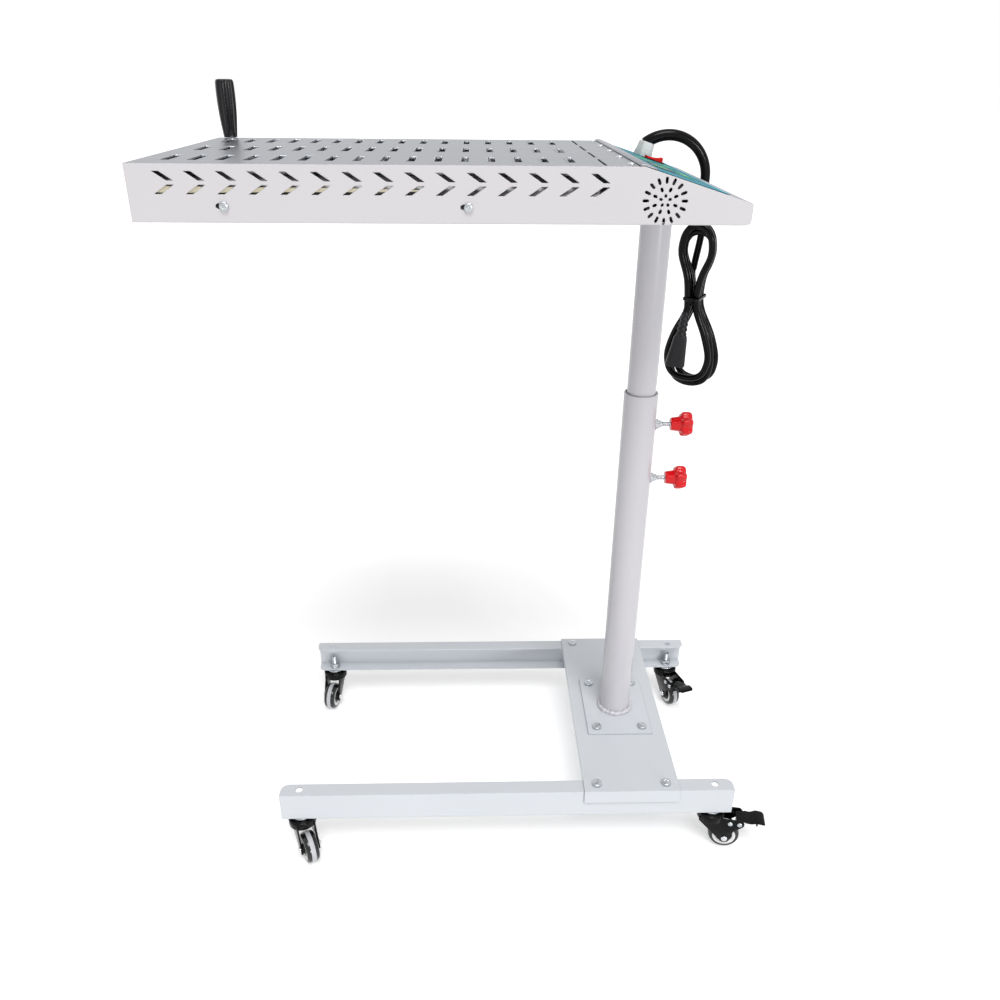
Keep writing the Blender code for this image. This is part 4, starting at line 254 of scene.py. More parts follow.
def piece(name, grids, finish, body, ring=False, sharp=40, replaces=()):
    """One object of several closed grids; a grid that isn't a ring is closed at both ends."""
    points, faces, start = [], [], 0
    for grid in grids:
        grid = np.asarray(grid, float)
        rows, columns, _ = grid.shape
        points.append(grid.reshape(-1, 3))
        faces += (grid_faces(rows, columns, ring) + start).tolist()
        if not ring:
            faces.append(list(range(start, start + columns))[::-1])
            faces.append(list(range(start + (rows - 1) * columns, start + rows * columns)))
        start += rows * columns
    mesh = bpy.data.meshes.new(name)
    mesh.from_pydata(np.concatenate(points).tolist(), [], faces)
    bm = bmesh.new()
    bm.from_mesh(mesh)
    bmesh.ops.remove_doubles(bm, verts=bm.verts, dist=WELD_REACH)
    bmesh.ops.dissolve_degenerate(bm, edges=bm.edges, dist=SLIVER)
    bmesh.ops.recalc_face_normals(bm, faces=bm.faces)
    bm.to_mesh(mesh)
    bm.free()
    mesh.shade_smooth()
    mesh.set_sharp_from_angle(angle=math.radians(sharp))
    mesh.materials.append(finish)
    thing = new_object(name, mesh)
    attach(thing, body)
    if replaces:
        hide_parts(*replaces)
    return thing


def moved(grid, matrix):
    """A grid carried by a 4 x 4 matrix: each point p becomes R p + t."""
    m = np.array(matrix)
    return np.asarray(grid, float) @ m[:3, :3].T + m[:3, 3]


def all_moved(grids, matrix):
    """Several grids carried by the same matrix."""
    return [moved(grid, matrix) for grid in grids]


def angles(sides):
    """Even steps round a full turn, in radians."""
    return np.linspace(0, math.tau, sides, endpoint=False)


def around(r, a, height):
    """Points at radius r, angle a and a height: (r cos a, r sin a, h)."""
    return np.stack(np.broadcast_arrays(r * np.cos(a), r * np.sin(a), height), axis=-1)


def turned(profile, sides):
    """A profile of (radius, height) turned round Z."""
    profile = np.asarray(profile, float)
    return around(profile[:, :1], angles(sides), profile[:, 1:])


def lathe(profile, sides, *places):
    """A turned profile set down at each place."""
    return [moved(turned(profile, sides), place) for place in places]


def corners_of(inner, outer, low, high):
    """The four corners of an upright section: out along the bottom and back along the top."""
    return [(inner, low), (outer, low), (outer, high), (inner, high)]


def pipe(outer, inner, low, high, cut, steps=4):
    """The wall of a pipe as a closed section with eased corners."""
    return eased([(outer, low), (outer, high), (inner, high), (inner, low)], cut, steps, True)


def at_height(outline, z):
    """An outline in X and Y lifted to one height."""
    return np.column_stack([outline, np.full(len(outline), z)])


def eased(corners, cut, steps=4, closed=False):
    """Round each corner P of a polyline: (1-t)^2 A + 2t(1-t) P + t^2 B, with A and B `cut` away."""
    p = np.asarray(corners, float)
    reach = np.broadcast_to(np.asarray(cut, float), len(p))[:, None]
    ends = []
    for neighbour in (np.roll(p, 1, 0), np.roll(p, -1, 0)):
        way = neighbour - p
        long = np.linalg.norm(way, axis=1, keepdims=True)
        ends.append(p + way / np.maximum(long, 1e-12) * np.minimum(reach, long * 0.49))
    if not closed:
        ends[0][[0, -1]] = ends[1][[0, -1]] = p[[0, -1]]
    t = np.linspace(0, 1, steps + 1)[None, :, None]
    curve = (1 - t) ** 2 * ends[0][:, None] + 2 * t * (1 - t) * p[:, None] + t**2 * ends[1][:, None]
    curve = curve.reshape(-1, p.shape[1])
    step = np.linalg.norm(np.diff(curve, axis=0, prepend=curve[-1:] + (0 if closed else 1)), axis=1)
    return curve[step > 1e-8]


def slab(low, high, corner, edge, steps=3):
    """A box whose upright corners and level edges are rounded, as a stack of outlines."""
    low, high = np.array(low, float), np.array(high, float)
    middle, half = (low + high) / 2, (high - low) / 2
    a = np.linspace(0, math.pi / 2, steps + 1)
    inset = np.concatenate([edge * (1 - np.sin(a)), edge * (1 - np.cos(a))])
    height = np.concatenate([-half[2] + edge * (1 - np.cos(a)), half[2] - edge * (1 - np.sin(a))])
    loops = []
    for grow, z in zip(inset, height):
        outline = eased(SQUARE * (half[:2] - grow), max(corner - grow, edge * 0.2), 4, True)
        loops.append(at_height(outline, z))
    return np.array(loops) + middle


def along_path(path, radii, sides, reference):
    """A round tube: each ring is p + r (cos a S + sin a U), S square to path and reference."""
    path = np.asarray(path, float)
    ahead = np.gradient(path, axis=0)
    ahead /= np.linalg.norm(ahead, axis=1, keepdims=True)
    side = np.cross(ahead, reference)
    side /= np.linalg.norm(side, axis=1, keepdims=True)
    up = np.cross(side, ahead)
    a = angles(sides)[None, :, None]
    r = np.broadcast_to(radii, len(path))[:, None, None]
    return path[:, None] + r * (np.cos(a) * side[:, None] + np.sin(a) * up[:, None])


def refined(points, pieces):
    """A smooth line through points: each span is the cubic with end slopes (C-A)/2 and (D-B)/2."""
    p = np.vstack([2 * points[0] - points[1], points, 2 * points[-1] - points[-2]])
    a, b, c, d = p[:-3, None], p[1:-2, None], p[2:-1, None], p[3:, None]
    t = np.linspace(0, 1, pieces, endpoint=False)[None, :, None]
    curve = 0.5 * (2 * b + (c - a) * t + (2 * a - 5 * b + 4 * c - d) * t**2)
    curve += 0.5 * (3 * b - a - 3 * c + d) * t**3
    return np.vstack([curve.reshape(-1, 3), points[-1:]])


# %% [markdown]
# ## Finishes
#
# Each finish starts from what the part is made of and how its surface was made. Two functions
# cover most of them: one for coated or moulded skins, which have a colour of their own and a fine
# relief, and one for bare metals, whose colour is their reflection. A Bevel node rounds the
# normals at folded edges, because a real fold in thin sheet has a radius of a millimetre or two
# and catches a thin line of light.


# %% Coated and moulded skins
def new_material(name):
    """A new material with its tree, its Principled shader and a node with Object coordinates."""
    material = bpy.data.materials.new(name)
    material.use_nodes = True
    tree = material.node_tree
    return material, tree, tree.nodes["Principled BSDF"], add(tree, "TexCoord").outputs["Object"]


def toned(tree, pattern, colour, fall, first, last):
    """A ramp over a pattern, from the colour darkened by a share to the colour itself."""
    ramp = add(tree, "ValToRGB", links={"Fac": pattern})
    tone = np.array(linear(colour)[:3])
    for stop, place, share in zip(ramp.color_ramp.elements, (first, last), (1 - fall, 1)):
        stop.position = place
        stop.color = (*(tone * share).tolist(), 1)
    return ramp.outputs["Color"]


def shaded(tree, colour, level, fall, first=0.0, last=1.0):
    """A colour darkened by a share where a level is at its first value, and whole at its last."""
    values = {"From Min": first, "From Max": last, "To Min": 1 - fall, "To Max": 1.0}
    shade = add(tree, "MapRange", values, {"Value": level})
    links = {"A": colour, "B": shade.outputs[0]}
    mixed = add(tree, "Mix", {"Factor": 1.0}, links, data_type="RGBA", blend_type="MULTIPLY")
    return mixed.outputs["Result"]


def link_surface(tree, shader, gloss, pattern, height, relief_mm, edge_mm):
    """Gloss that follows a pattern, and a fine relief over rounded folds."""
    level = add(tree, "MapRange", gloss, {"Value": pattern})
    tree.links.new(level.outputs[0], shader.inputs["Roughness"])
    fold = add(tree, "Bevel", {"Radius": edge_mm / 1000}, samples=4)
    values = {"Strength": 1.0, "Distance": relief_mm / 1000}
    bump = add(tree, "Bump", values, {"Height": height, "Normal": fold.outputs[0]})
    tree.links.new(bump.outputs[0], shader.inputs["Normal"])


def set_values(shader, values):
    """Set sockets by name."""
    for key, value in values.items():
        shader.inputs[key].default_value = value


def skin(name, colour, rough, grain_mm, relief_mm, uneven, edge_mm, specular=0.5, painted_corner_shade=0.0, **sockets):
    """Paint or plastic: cloudy tone and gloss, a fine relief and, with painted corner shade, darker inner
    corners.
    """
    material, tree, shader, where = new_material(name)
    cloud = add(tree, "TexNoise", {"Scale": 9.0, "Detail": 3.0}, {"Vector": where}).outputs["Fac"]
    source = toned(tree, cloud, colour, uneven, 0.2, 0.8)
    # Painted shade: an Ambient Occlusion node darkens the colour in inner corners, where shade falls.
    if painted_corner_shade:
        corner = add(tree, "AmbientOcclusion", {"Distance": 0.018}, samples=6)
        source = shaded(tree, source, corner.outputs["AO"], painted_corner_shade, 0.25, 0.85)
    tree.links.new(source, shader.inputs["Base Color"])
    grain = add(tree, "TexNoise", {"Scale": 1000 / grain_mm, "Detail": 2.0}, {"Vector": where})
    gloss = {"To Min": rough * 0.85, "To Max": rough * 1.15}
    link_surface(tree, shader, gloss, cloud, grain.outputs["Fac"], relief_mm, edge_mm)
    set_values(shader, {"Specular IOR Level": specular, **sockets})
    return material


# Powder coat, baked on degreased steel: pale, softly glossy, with the faint swell of orange peel.
# The swell is about 2 mm across and a hundredth of a millimetre high. The head is a warm white,
# the frame a cooler one; painted shade greys their inner corners.
HEAD_COAT = skin("warm_white_powder_coat", "#D6D3D6", 0.36, 2.2, 0.010, 0.02, 1.6, painted_corner_shade=0.22)
FRAME_COAT = skin("cool_white_powder_coat", "#DADEE3", 0.30, 2.2, 0.010, 0.025, 1.8, painted_corner_shade=0.30)
# The same powder on the round tubes, where the wheel that polished the weld left it smoother.
TUBE_COAT = skin("tube_powder_coat", "#CFCDD2", 0.25, 3.2, 0.003, 0.015, 0.8, painted_corner_shade=0.20)
# Black enamel on pressed forks and pedals: deep and wet, nearly a mirror where it bends.
FORK_ENAMEL = skin("black_gloss_enamel", "#050506", 0.13, 1.5, 0.004, 0.2, 0.6, 0.15)
# Moulded ABS for the wheel cores, strap, switch frame, controller and fan: a fine spark-eroded
# grain, half matt.
BLACK_ABS = skin("black_moulded_abs", "#0C0C0E", 0.34, 0.7, 0.010, 0.15, 0.5, 0.18)
# The grip is soft PVC over a sleeve: a little greyer, with a silky sheen along its flutes.
GRIP_PVC = skin("grip_soft_pvc", "#100F14", 0.24, 0.8, 0.008, 0.15, 0.5, 0.25)
# Phenolic resin, pressed hot in a polished die: saturated red with hard little highlights.
RED_PHENOLIC = skin("red_phenolic", "#DE1018", 0.13, 1.2, 0.003, 0.10, 0.7, 0.35)
# The rocker is clear red acrylic over a lamp, so its red is lighter and seems to lie deeper.
RED_ACRYLIC = skin("red_rocker_acrylic", "#D92420", 0.42, 1.0, 0.002, 0.08, 0.5, 0.03)
# PVC sheath of the lead and its boot: black and waxy, with the long thin lights of wet rubber.
LEAD_PVC = skin("lead_black_pvc", "#060608", 0.16, 2.2, 0.0015, 0.12, 0.4, 0.13)
# The plug is moulded from a harder PVC that comes out of the die a dull dark grey.
PLUG_PVC = skin("plug_moulded_pvc", "#17181B", 0.42, 0.8, 0.010, 0.12, 0.5, 0.3)
# Natural nylon of the cable gland, greyish white with a little light inside it.
INNER_LIGHT = {"Subsurface Weight": 0.1, "Subsurface Scale": 0.003}
GLAND_NYLON = skin("gland_grey_nylon", "#DEDFDC", 0.38, 0.9, 0.006, 0.03, 0.6, painted_corner_shade=0.25, **INNER_LIGHT)
# A white ring in each face of the wheel's black core, a painted highlight: the crescent of light that the
# glossy tread shows on its side.
WHEEL_HIGHLIGHT_RING = skin("painted_highlight_ring", "#F0F0EF", 0.30, 1.2, 0.004, 0.03, 0.4)
# Steatite, the dense cream ceramic of the lamp ends: dry and matt from the kiln.
STEATITE = skin("cream_steatite", "#E6DFD0", 0.62, 0.6, 0.02, 0.06, 0.5)
# Smoke-dark urethane of the treads, cast over the core: near black and very glossy. Its running
# band is painted pale grey: a painted reflection of a broad light along the glossy tread.
TREAD_GLOSS = skin("smoke_dark_urethane", "#17181A", 0.07, 1.5, 0.003, 0.15, 0.4, 0.5)
TREAD_PAINTED_REFLECTION = skin("painted_reflection_urethane", "#C9CACF", 0.40, 0.9, 0.010, 0.12, 0.3)
print("skins", len(bpy.data.materials))


# %% Bare metals
def metal(name, colour, rough, stretch, relief_mm, spread, edge_mm, spangle=0.0):
    """Bare metal: stretched noise makes drawn or brushed streaks that vary gloss, tone and relief."""
    material, tree, shader, where = new_material(name)
    streaks = add(tree, "Mapping", {"Scale": stretch}, {"Vector": where}).outputs[0]
    brush = add(tree, "TexNoise", {"Scale": 1.0, "Detail": 4.0}, {"Vector": streaks}).outputs["Fac"]
    source = toned(tree, brush, colour, spread, 0.3, 0.7)
    if spangle:
        crystal = add(tree, "TexVoronoi", {"Scale": 120.0}, {"Vector": where})
        source = shaded(tree, source, crystal.outputs["Color"], spangle)
    tree.links.new(source, shader.inputs["Base Color"])
    gloss = {"From Min": 0.3, "From Max": 0.7, "To Min": rough * 0.8, "To Max": rough * 1.2}
    link_surface(tree, shader, gloss, brush, brush, relief_mm, edge_mm)
    set_values(shader, {"Metallic": 1.0})
    return material


# Stainless steel sheet with a fine brushed grain along the head: grey, soft, a little blue.
BRUSHED_STEEL = metal("brushed_stainless", "#989BA1", 0.36, (3, 900, 900), 0.002, 0.10, 1.4)
# Bright zinc plate on screws, stems, nuts, bosses, plug pins, coil rings, and as a painted highlight on the
# slots' lips.
ZINC_PLATE = metal("bright_zinc_plate", "#C3C7CB", 0.26, (300, 300, 300), 0.004, 0.18, 0.5)
# Chrome on the axle bolts, clamp screws, cover rivets and the handle's bolt: nearly a mirror.
CHROME = metal("polished_chrome", "#D4D6D9", 0.09, (200, 200, 200), 0.001, 0.06, 0.5)
# Galvanised steel inside the box: dull, with zinc crystals about 8 mm wide.
GALVANISED = metal("galvanised_sheet", "#9EA2A5", 0.42, (60, 60, 60), 0.004, 0.12, 0.6, 0.16)
# Anodised aluminium reflector: bright and satin, rolled along its length.
REFLECTOR = metal("bright_anodised_aluminium", "#DADBDC", 0.20, (6, 500, 500), 0.002, 0.06, 0.8)
# Resistance wire, oxidised by heat to a brown grey.
RESISTANCE_WIRE = metal("oxidised_resistance_wire", "#B58E78", 0.45, (500, 500, 500), 0.001, 0.2, 0.2)
print("materials", len(bpy.data.materials))


# %% Clear materials
def clear(name, colour, rough, ior, waves):
    """A clear material: light passes through it, bent by its IOR, over a faintly wavy surface."""
    material, tree, shader, where = new_material(name)
    cloud = add(tree, "TexNoise", {"Scale": waves, "Detail": 2.0}, {"Vector": where})
    values = {"To Min": rough * 0.6, "To Max": rough * 1.4}
    gloss = add(tree, "MapRange", values, {"Value": cloud.outputs["Fac"]})
    tree.links.new(gloss.outputs[0], shader.inputs["Roughness"])
    bump = add(tree, "Bump", {"Strength": 0.5, "Distance": 0.0001}, {"Height": cloud.outputs["Fac"]})
    tree.links.new(bump.outputs[0], shader.inputs["Normal"])
    set_values(shader, {"Base Color": linear(colour), "IOR": ior, "Transmission Weight": 1.0})
    return material


# Fused quartz of the lamps: clear as water, IOR 1.458, with the faint waves of a drawn tube.
QUARTZ = clear("clear_fused_quartz", "#F4F6F7", 0.03, 1.458, 140.0)

# %% [markdown]
# ## The mains lead
#
# The lead leaves the box through a cable gland, inside a tapered boot that arches over the end of
# the head, and its spare length hangs beside the post as a tied hank of three long loops with the
# plug on its end. A cord is one unbroken line of a real length, so it is made first: points worked
# out as the solids' route was, a smooth line through them, and a round tube along that line.

# %% The lead's route
GLAND_Y, GLAND_ALONG, GLAND_HEIGHT = 0.170, 0.0655, 0.0205
LEAD_DIAMETER = 0.0105
BOOT_RADIUS, BOOT_START, BOOT_STRAIGHT = 0.059, math.radians(33), 0.012
HANK_TURNS, HANK_POINTS = 3, 24
HANK_X, HANK_ANGLE, HANK_LEAN = 0.103, math.radians(30), 0.045
HANK_TOP, HANK_BOTTOM, HANK_WAIST = 0.922, 0.673, 0.8095
TOP_HALF, LOW_HALF, WAIST_HALF, WAIST_SPREAD = 0.025, 0.038, 0.0064, 0.055
HANK_LAYER, HANK_ROUND, HANK_CROWD = 0.0114, 2.05, 0.20
HANK_RISES, HANK_SAGS = (0.0, -0.004, -0.012, -0.002), (0.0, 0.006, -0.005, 0.0)
HANK_FAN_SHARES = (-0.045, 0.0, 0.045, 0.045)
HANK_BACK = HANK_LAYER * HANK_TURNS / 2
HANK_Y = GLAND_Y - HANK_BACK * math.cos(HANK_ANGLE)
LEAD_IN, LEAD_POINTS, DROP_POINTS = 0.090, 9, 9
PLUG_TOP = 0.789


def slope_place(along, y, out=0.0):
    """A place on the sloping panel: X runs down the slope, Y across it and Z out of it."""
    down = Vector((math.cos(SLOPE_ANGLE), 0, -math.sin(SLOPE_ANGLE)))
    normal = Vector((math.sin(SLOPE_ANGLE), 0, math.cos(SLOPE_ANGLE)))
    place = Vector((SLOPE_TOP_X, y, HEAD_TOP)) + down * along + normal * out
    return POST @ Matrix.Translation(place) @ Matrix((down, (0, 1, 0), normal)).transposed().to_4x4()


def smooth_step(t):
    """0 below 0, 1 above 1 and t^2 (3 - 2t) between."""
    t = np.clip(t, 0.0, 1.0)
    return t * t * (3 - 2 * t)


def half_width(heights):
    """Half the width of a loop at each height: wider below, pinched in at the tie."""
    low = np.clip((HANK_TOP - heights) / (HANK_TOP - HANK_BOTTOM), 0, 1)
    plain = TOP_HALF + (LOW_HALF - TOP_HALF) * low
    pinch = np.exp(-(np.abs((heights - HANK_WAIST) / WAIST_SPREAD) ** 3))
    return plain + (WAIST_HALF - plain) * pinch


def hank_place(u, v, heights):
    """From the hank's own plane (u across, v towards the operator) to the post's frame."""
    lean = np.minimum(HANK_WAIST - heights, HANK_WAIST - HANK_BOTTOM) * HANK_LEAN
    x = HANK_X + lean + u * math.cos(HANK_ANGLE) - v * math.sin(HANK_ANGLE)
    y = HANK_Y - u * math.sin(HANK_ANGLE) - v * math.cos(HANK_ANGLE)
    return np.stack([x, y, heights], axis=1)


def hank_line():
    """The hank's centreline as u, v and height: phase runs round three loops, v steps outwards."""
    steps = np.arange(HANK_TURNS * HANK_POINTS + HANK_POINTS // 4 + 1)
    even = steps / HANK_POINTS * math.tau
    phase = even - HANK_CROWD * np.sin(2 * even)
    turn = np.minimum((even / math.tau).astype(int), HANK_TURNS)
    turns, marks = phase / math.tau, np.arange(HANK_TURNS + 1)
    rise = np.interp(turns, marks, HANK_RISES)
    sag = np.interp(turns - 0.5, marks, HANK_SAGS)
    upper = 0.5 + 0.5 * np.cos(phase)
    middle, reach = (HANK_TOP + HANK_BOTTOM) / 2, (HANK_TOP - HANK_BOTTOM) / 2
    heights = middle + reach * np.cos(phase) + rise * upper - sag * (1 - upper)
    u = -np.tanh(HANK_ROUND * np.sin(phase)) / math.tanh(HANK_ROUND) * half_width(heights)
    u += np.interp(turns, marks, HANK_FAN_SHARES) * (heights - HANK_WAIST)
    v = (turn + smooth_step((turns - turn - 0.56) / 0.38)) * HANK_LAYER - HANK_BACK
    keep = steps >= HANK_POINTS // 4 - 1
    keep[-HANK_POINTS // 3 :] &= heights[-HANK_POINTS // 3 :] > PLUG_TOP + 1.6 * LEAD_DIAMETER
    t = np.arange(LEAD_POINTS) / LEAD_POINTS
    across = u[keep][0] * smooth_step((t - 0.12) / 1.02)
    fall = heights[keep][0] + LEAD_IN * (1 - t)
    lead = np.stack([across, np.full_like(t, -HANK_BACK), fall], axis=1)
    return np.concatenate([lead, np.stack([u, v, heights], axis=1)[keep]])


def boot_arc(count, start):
    """Points of the boot's arc from an angle to straight down: C + R (sin a, 0, cos a)."""
    a = np.linspace(start, math.pi / 2, count)
    top = POST.inverted() @ slope_place(GLAND_ALONG, GLAND_Y, GLAND_HEIGHT + CLEAR).translation
    x = top.x + BOOT_RADIUS * math.sin(BOOT_START) + BOOT_RADIUS * np.sin(a)
    z = top.z - BOOT_RADIUS * math.cos(BOOT_START) + BOOT_RADIUS * np.cos(a)
    return np.stack([x, np.full(count, GLAND_Y), z], axis=1)


plug_u = HANK_FAN_SHARES[-1] * (PLUG_TOP - HANK_WAIST) - WAIST_HALF
plug_spot = hank_place(*np.array([[plug_u], [HANK_BACK], [PLUG_TOP]]))[0]
PLUG_PLACE = shift(*plug_spot) @ spun(math.radians(-12), "Z") @ spun(math.radians(6), "Y")

hank = hank_line()
tail = moved([(0, 0, LEAD_DIAMETER), (0, 0, 0)], PLUG_PLACE)
hanging = hank_place(*hank.T)
arc = boot_arc(17, -BOOT_START)
drop_top = arc[-1] - (0, 0, BOOT_STRAIGHT)
t = (np.arange(DROP_POINTS) / DROP_POINTS)[:, None]
drop = drop_top + (hanging[0] - drop_top) * np.hstack([smooth_step((t - 0.25) / 0.5)] * 2 + [t])
route = refined(np.concatenate([arc, drop, hanging, tail]), 4)
route = moved(route, POST)

# %% The lead, its boot and its tie
HANK_NORMAL = np.array([-math.sin(HANK_ANGLE), -math.cos(HANK_ANGLE), 0])
lead = piece(
    "mains_lead", [along_path(route, LEAD_DIAMETER / 2, 20, HANK_NORMAL)],
    LEAD_PVC, "head", replaces=("lead_drop", "lead_hank"),
)

boot_line = boot_arc(56, -BOOT_START - 0.07)
straight = np.outer([0.3, 0.6, 0.85, 0.95, 1.0], (0, 0, BOOT_STRAIGHT))
boot_line = np.vstack([boot_line, boot_line[-1] - straight])
boot_radii = 0.0085 - 0.0015 * np.linspace(0, 1, len(boot_line))
boot_radii[-3:] -= (0.0, 0.0004, 0.0014)
boot = piece(
    "lead_boot", [along_path(moved(boot_line, POST), boot_radii, 32, (0, 1, 0))],
    LEAD_PVC, "head", replaces=("lead_sleeve",),
)

TIE_BAND, TIE_SHEET = 0.004, 0.0012
fine_hank = refined(hank, 8)
near_tie = np.abs(fine_hank[:, 2] - HANK_WAIST) < TIE_BAND
tie_u = np.abs(fine_hank[near_tie, 0]).max() + LEAD_DIAMETER / 2 + 2 * CLEAR
tie_v = HANK_BACK + LEAD_DIAMETER / 2 + 2 * CLEAR
loops = []
for grow, height in eased(corners_of(0, 1, -0.5, 0.5), 0.3, 3, True):
    half = np.array([tie_u, tie_v]) + grow * TIE_SHEET
    loops.append(at_height(eased(SQUARE * half, 0.007, 6, True), height * TIE_BAND))
tie_place = POST @ shift(HANK_X, HANK_Y, HANK_WAIST) @ spun(-HANK_ANGLE, "Z")
tie = piece(
    "hank_strap", [moved(np.array(loops), tie_place)],
    BLACK_ABS, "head", ring=True, replaces=("hank_tie",),
)
block = slab((-0.004, -tie_v - 0.0045, -0.0032), (0.004, -tie_v - 0.0006, 0.0032), 0.001, 0.0006)
buckle = piece("strap_buckle", [moved(block, tie_place)], BLACK_ABS, "head")
print("strap half sizes in mm", round(tie_u * 1000, 1), round(tie_v * 1000, 1))

# %% The plug
PLUG_RELIEF, PLUG_BODY, PLUG_RIBS = 0.040, 0.052, 5


def rounded_section(half_x, half_y, power, sides):
    """A superellipse: x = a |cos|^(2/n), y = b |sin|^(2/n), each with its cosine's or sine's sign."""
    a = angles(sides)
    c, s = np.cos(a), np.sin(a)
    x = np.sign(c) * np.abs(c) ** (2 / power)
    y = np.sign(s) * np.abs(s) ** (2 / power)
    return np.asarray(half_x)[:, None] * x, np.asarray(half_y)[:, None] * y


share = np.linspace(0, 1, 61)
rib = 0.5 + 0.5 * np.tanh(3.2 * np.sin(math.tau * PLUG_RIBS * share - math.pi / 2)) / math.tanh(3.2)
relief_radii = 0.00625 + 0.00235 * share - 0.0011 * (1 - rib)
relief = turned(np.column_stack([relief_radii, -share * PLUG_RELIEF]), 32)
share = np.array([0, 0.02, 0.06, 0.14, 0.3, 0.5, 0.7, 0.86, 0.94, 0.975, 0.993, 1.0])
shrink = np.array([0.75, 0.93, 1, 1, 1, 1, 1, 1, 1, 0.985, 0.94, 0.86])
stops = (0, 0.08, 0.94, 1.0)
half_x = np.interp(share, stops, (0.0085, 0.0105, 0.0155, 0.0150)) * shrink
half_y = np.interp(share, stops, (0.0062, 0.0072, 0.00875, 0.0083)) * shrink
x, y = rounded_section(half_x, half_y, 4.5, 48)
low = 0.003 - PLUG_RELIEF
body_grid = np.stack([x, y, np.broadcast_to(low - share[:, None] * PLUG_BODY, x.shape)], axis=-1)
plug_place = POST @ PLUG_PLACE
plug = piece(
    "plug_body", all_moved([relief, body_grid], plug_place),
    PLUG_PVC, "head", replaces=("mains_plug",),
)
# Each pin: its place across and along the plug, and half its width and height.
PINS = (
    (-0.0064, 0.007, 0.0008, 0.00315),
    (0.0064, 0.007, 0.0008, 0.00315),
    (0.0, -0.007, 0.00315, 0.0008),
)
mirrored = Matrix.Scale(-1, 4, (0, 1, 0))
pins = []
for across, along, wide, tall in PINS:
    pin = slab((across - wide, -0.0228, -tall), (across + wide, -0.006, tall), 0.0003, 0.0003)
    pin = moved(pin, shift(0, 0, low - PLUG_BODY * 0.62 + along) @ mirrored)
    pins.append(moved(pin, plug_place))
plug_pins = piece("plug_pins", pins, ZINC_PLATE, "head")

# %% [markdown]
# ## Casters
#
# Each caster is a threaded stem through the rail, a pressed fork that swivels under it and a 50 mm
# wheel: a black core with white rings and a smoke-dark tread with a pale band round its middle; the
# rings are a painted highlight and the band a painted reflection. The wheels, forks and bolts are
# turned or pressed parts, so they are profiles turned round an axis and flat outlines with eased
# edges. Their places come from the joints, so each wheel stands as its caster is turned.

# %% Wheels and axles
WHEEL_RADIUS = joints["roll_near_left"]["pos_m"][2]
TAGS = ("near_left", "near_right", "far_left", "far_right")
LEG_OUTSIDE = 0.015


def caster_frames(tag):
    """The swivel's frame (X towards the axle) and the axle's frame (Z along the axle)."""
    swivel = Vector(joints["swivel_" + tag]["pos_m"])
    axle = Vector(joints["roll_" + tag]["pos_m"])
    turn = spun(math.atan2(axle.y - swivel.y, axle.x - swivel.x), "Z")
    ground = shift(swivel.x, swivel.y, POST.translation.z) @ turn
    return ground, shift(*axle) @ turn @ UPRIGHT


tread_half = [
    (WHEEL_RADIUS - 0.0003, 0.0050), (0.0232, 0.0084), (0.0208, 0.0100),
    (0.0180, 0.0101), (0.0180, 0.0085), (0.0200, 0.0060),
]
tread_cuts = (0.0004, 0.0004, 0.0004, 0.0008, 0.0020, 0.0020)
tread = np.array([(r, -h) for r, h in tread_half[::-1]] + tread_half)
tread = eased(tread, tread_cuts + tread_cuts[::-1], 5, True)
reflection_band = pipe(WHEEL_RADIUS, WHEEL_RADIUS - 0.001, -0.0036, 0.0036, (0.0002, 0.0002, 0, 0), 3)
face = [(0.0033, 0.0122), (0.0072, 0.0122), (0.0086, 0.0090)]
face += [(0.0122, 0.0086), (0.0160, 0.0070), (0.0214, 0.0048)]
core = eased([(r, -h) for r, h in face] + face[::-1], 0.0006, 3, True)
band = [(0.0126, 0.0078), (0.0132, 0.0096), (0.0172, 0.0101)]
band += [(0.0200, 0.0094), (0.0209, 0.0062), (0.0150, 0.0064)]
band = eased(band, 0.0007, 4, True)
quarter = np.linspace(0, math.pi / 2, 9)
dome = np.column_stack([0.0050 * np.cos(quarter), LEG_OUTSIDE + 0.0010 + 0.0030 * np.sin(quarter)])
bolt = np.vstack([(0.0030, LEG_OUTSIDE + CLEAR), (0.0050, LEG_OUTSIDE + CLEAR), dome])
axle_profile = np.vstack([bolt[::-1] * (1, -1), bolt])
for tag in TAGS:
    spin = caster_frames(tag)[1]
    wheel = "wheel_" + tag
    treads = lathe(tread, 96, spin)
    piece("tread_" + tag, treads, TREAD_GLOSS, wheel, ring=True, replaces=("caster_" + wheel,))
    # The pale band round the middle of each tread is a painted reflection of a broad light.
    piece("tread_reflection_band_" + tag, lathe(reflection_band, 96, spin), TREAD_PAINTED_REFLECTION, wheel, ring=True)
    piece("wheel_core_" + tag, lathe(core, 64, spin), BLACK_ABS, wheel, ring=True)
    # The white rings on the wheel's faces are a painted highlight: the crescent of light on the tread's side.
    rings = [moved(turned(band * (1, side), 64), spin) for side in SIDES]
    piece("wheel_highlight_ring_" + tag, rings, WHEEL_HIGHLIGHT_RING, wheel, ring=True)
    bolts = lathe(axle_profile, 32, spin)
    piece("axle_bolt_" + tag, bolts, CHROME, "fork_" + tag, replaces=("caster_axle_" + tag,))
print("wheel radius in mm", round(WHEEL_RADIUS * 1000, 2))

# %% Stems, nuts and bearings
def hex_rings(radii, heights, limit, sides=96):
    """Rings on a hexagon cut by a circle: r = min(f / cos(away from the flat), limit)."""
    a = angles(sides)
    away = np.mod(a, math.pi / 3) - math.pi / 6
    flat = np.asarray(radii)[:, None] / np.cos(away)
    return around(np.minimum(flat, np.asarray(limit)[:, None]), a, np.asarray(heights)[:, None])


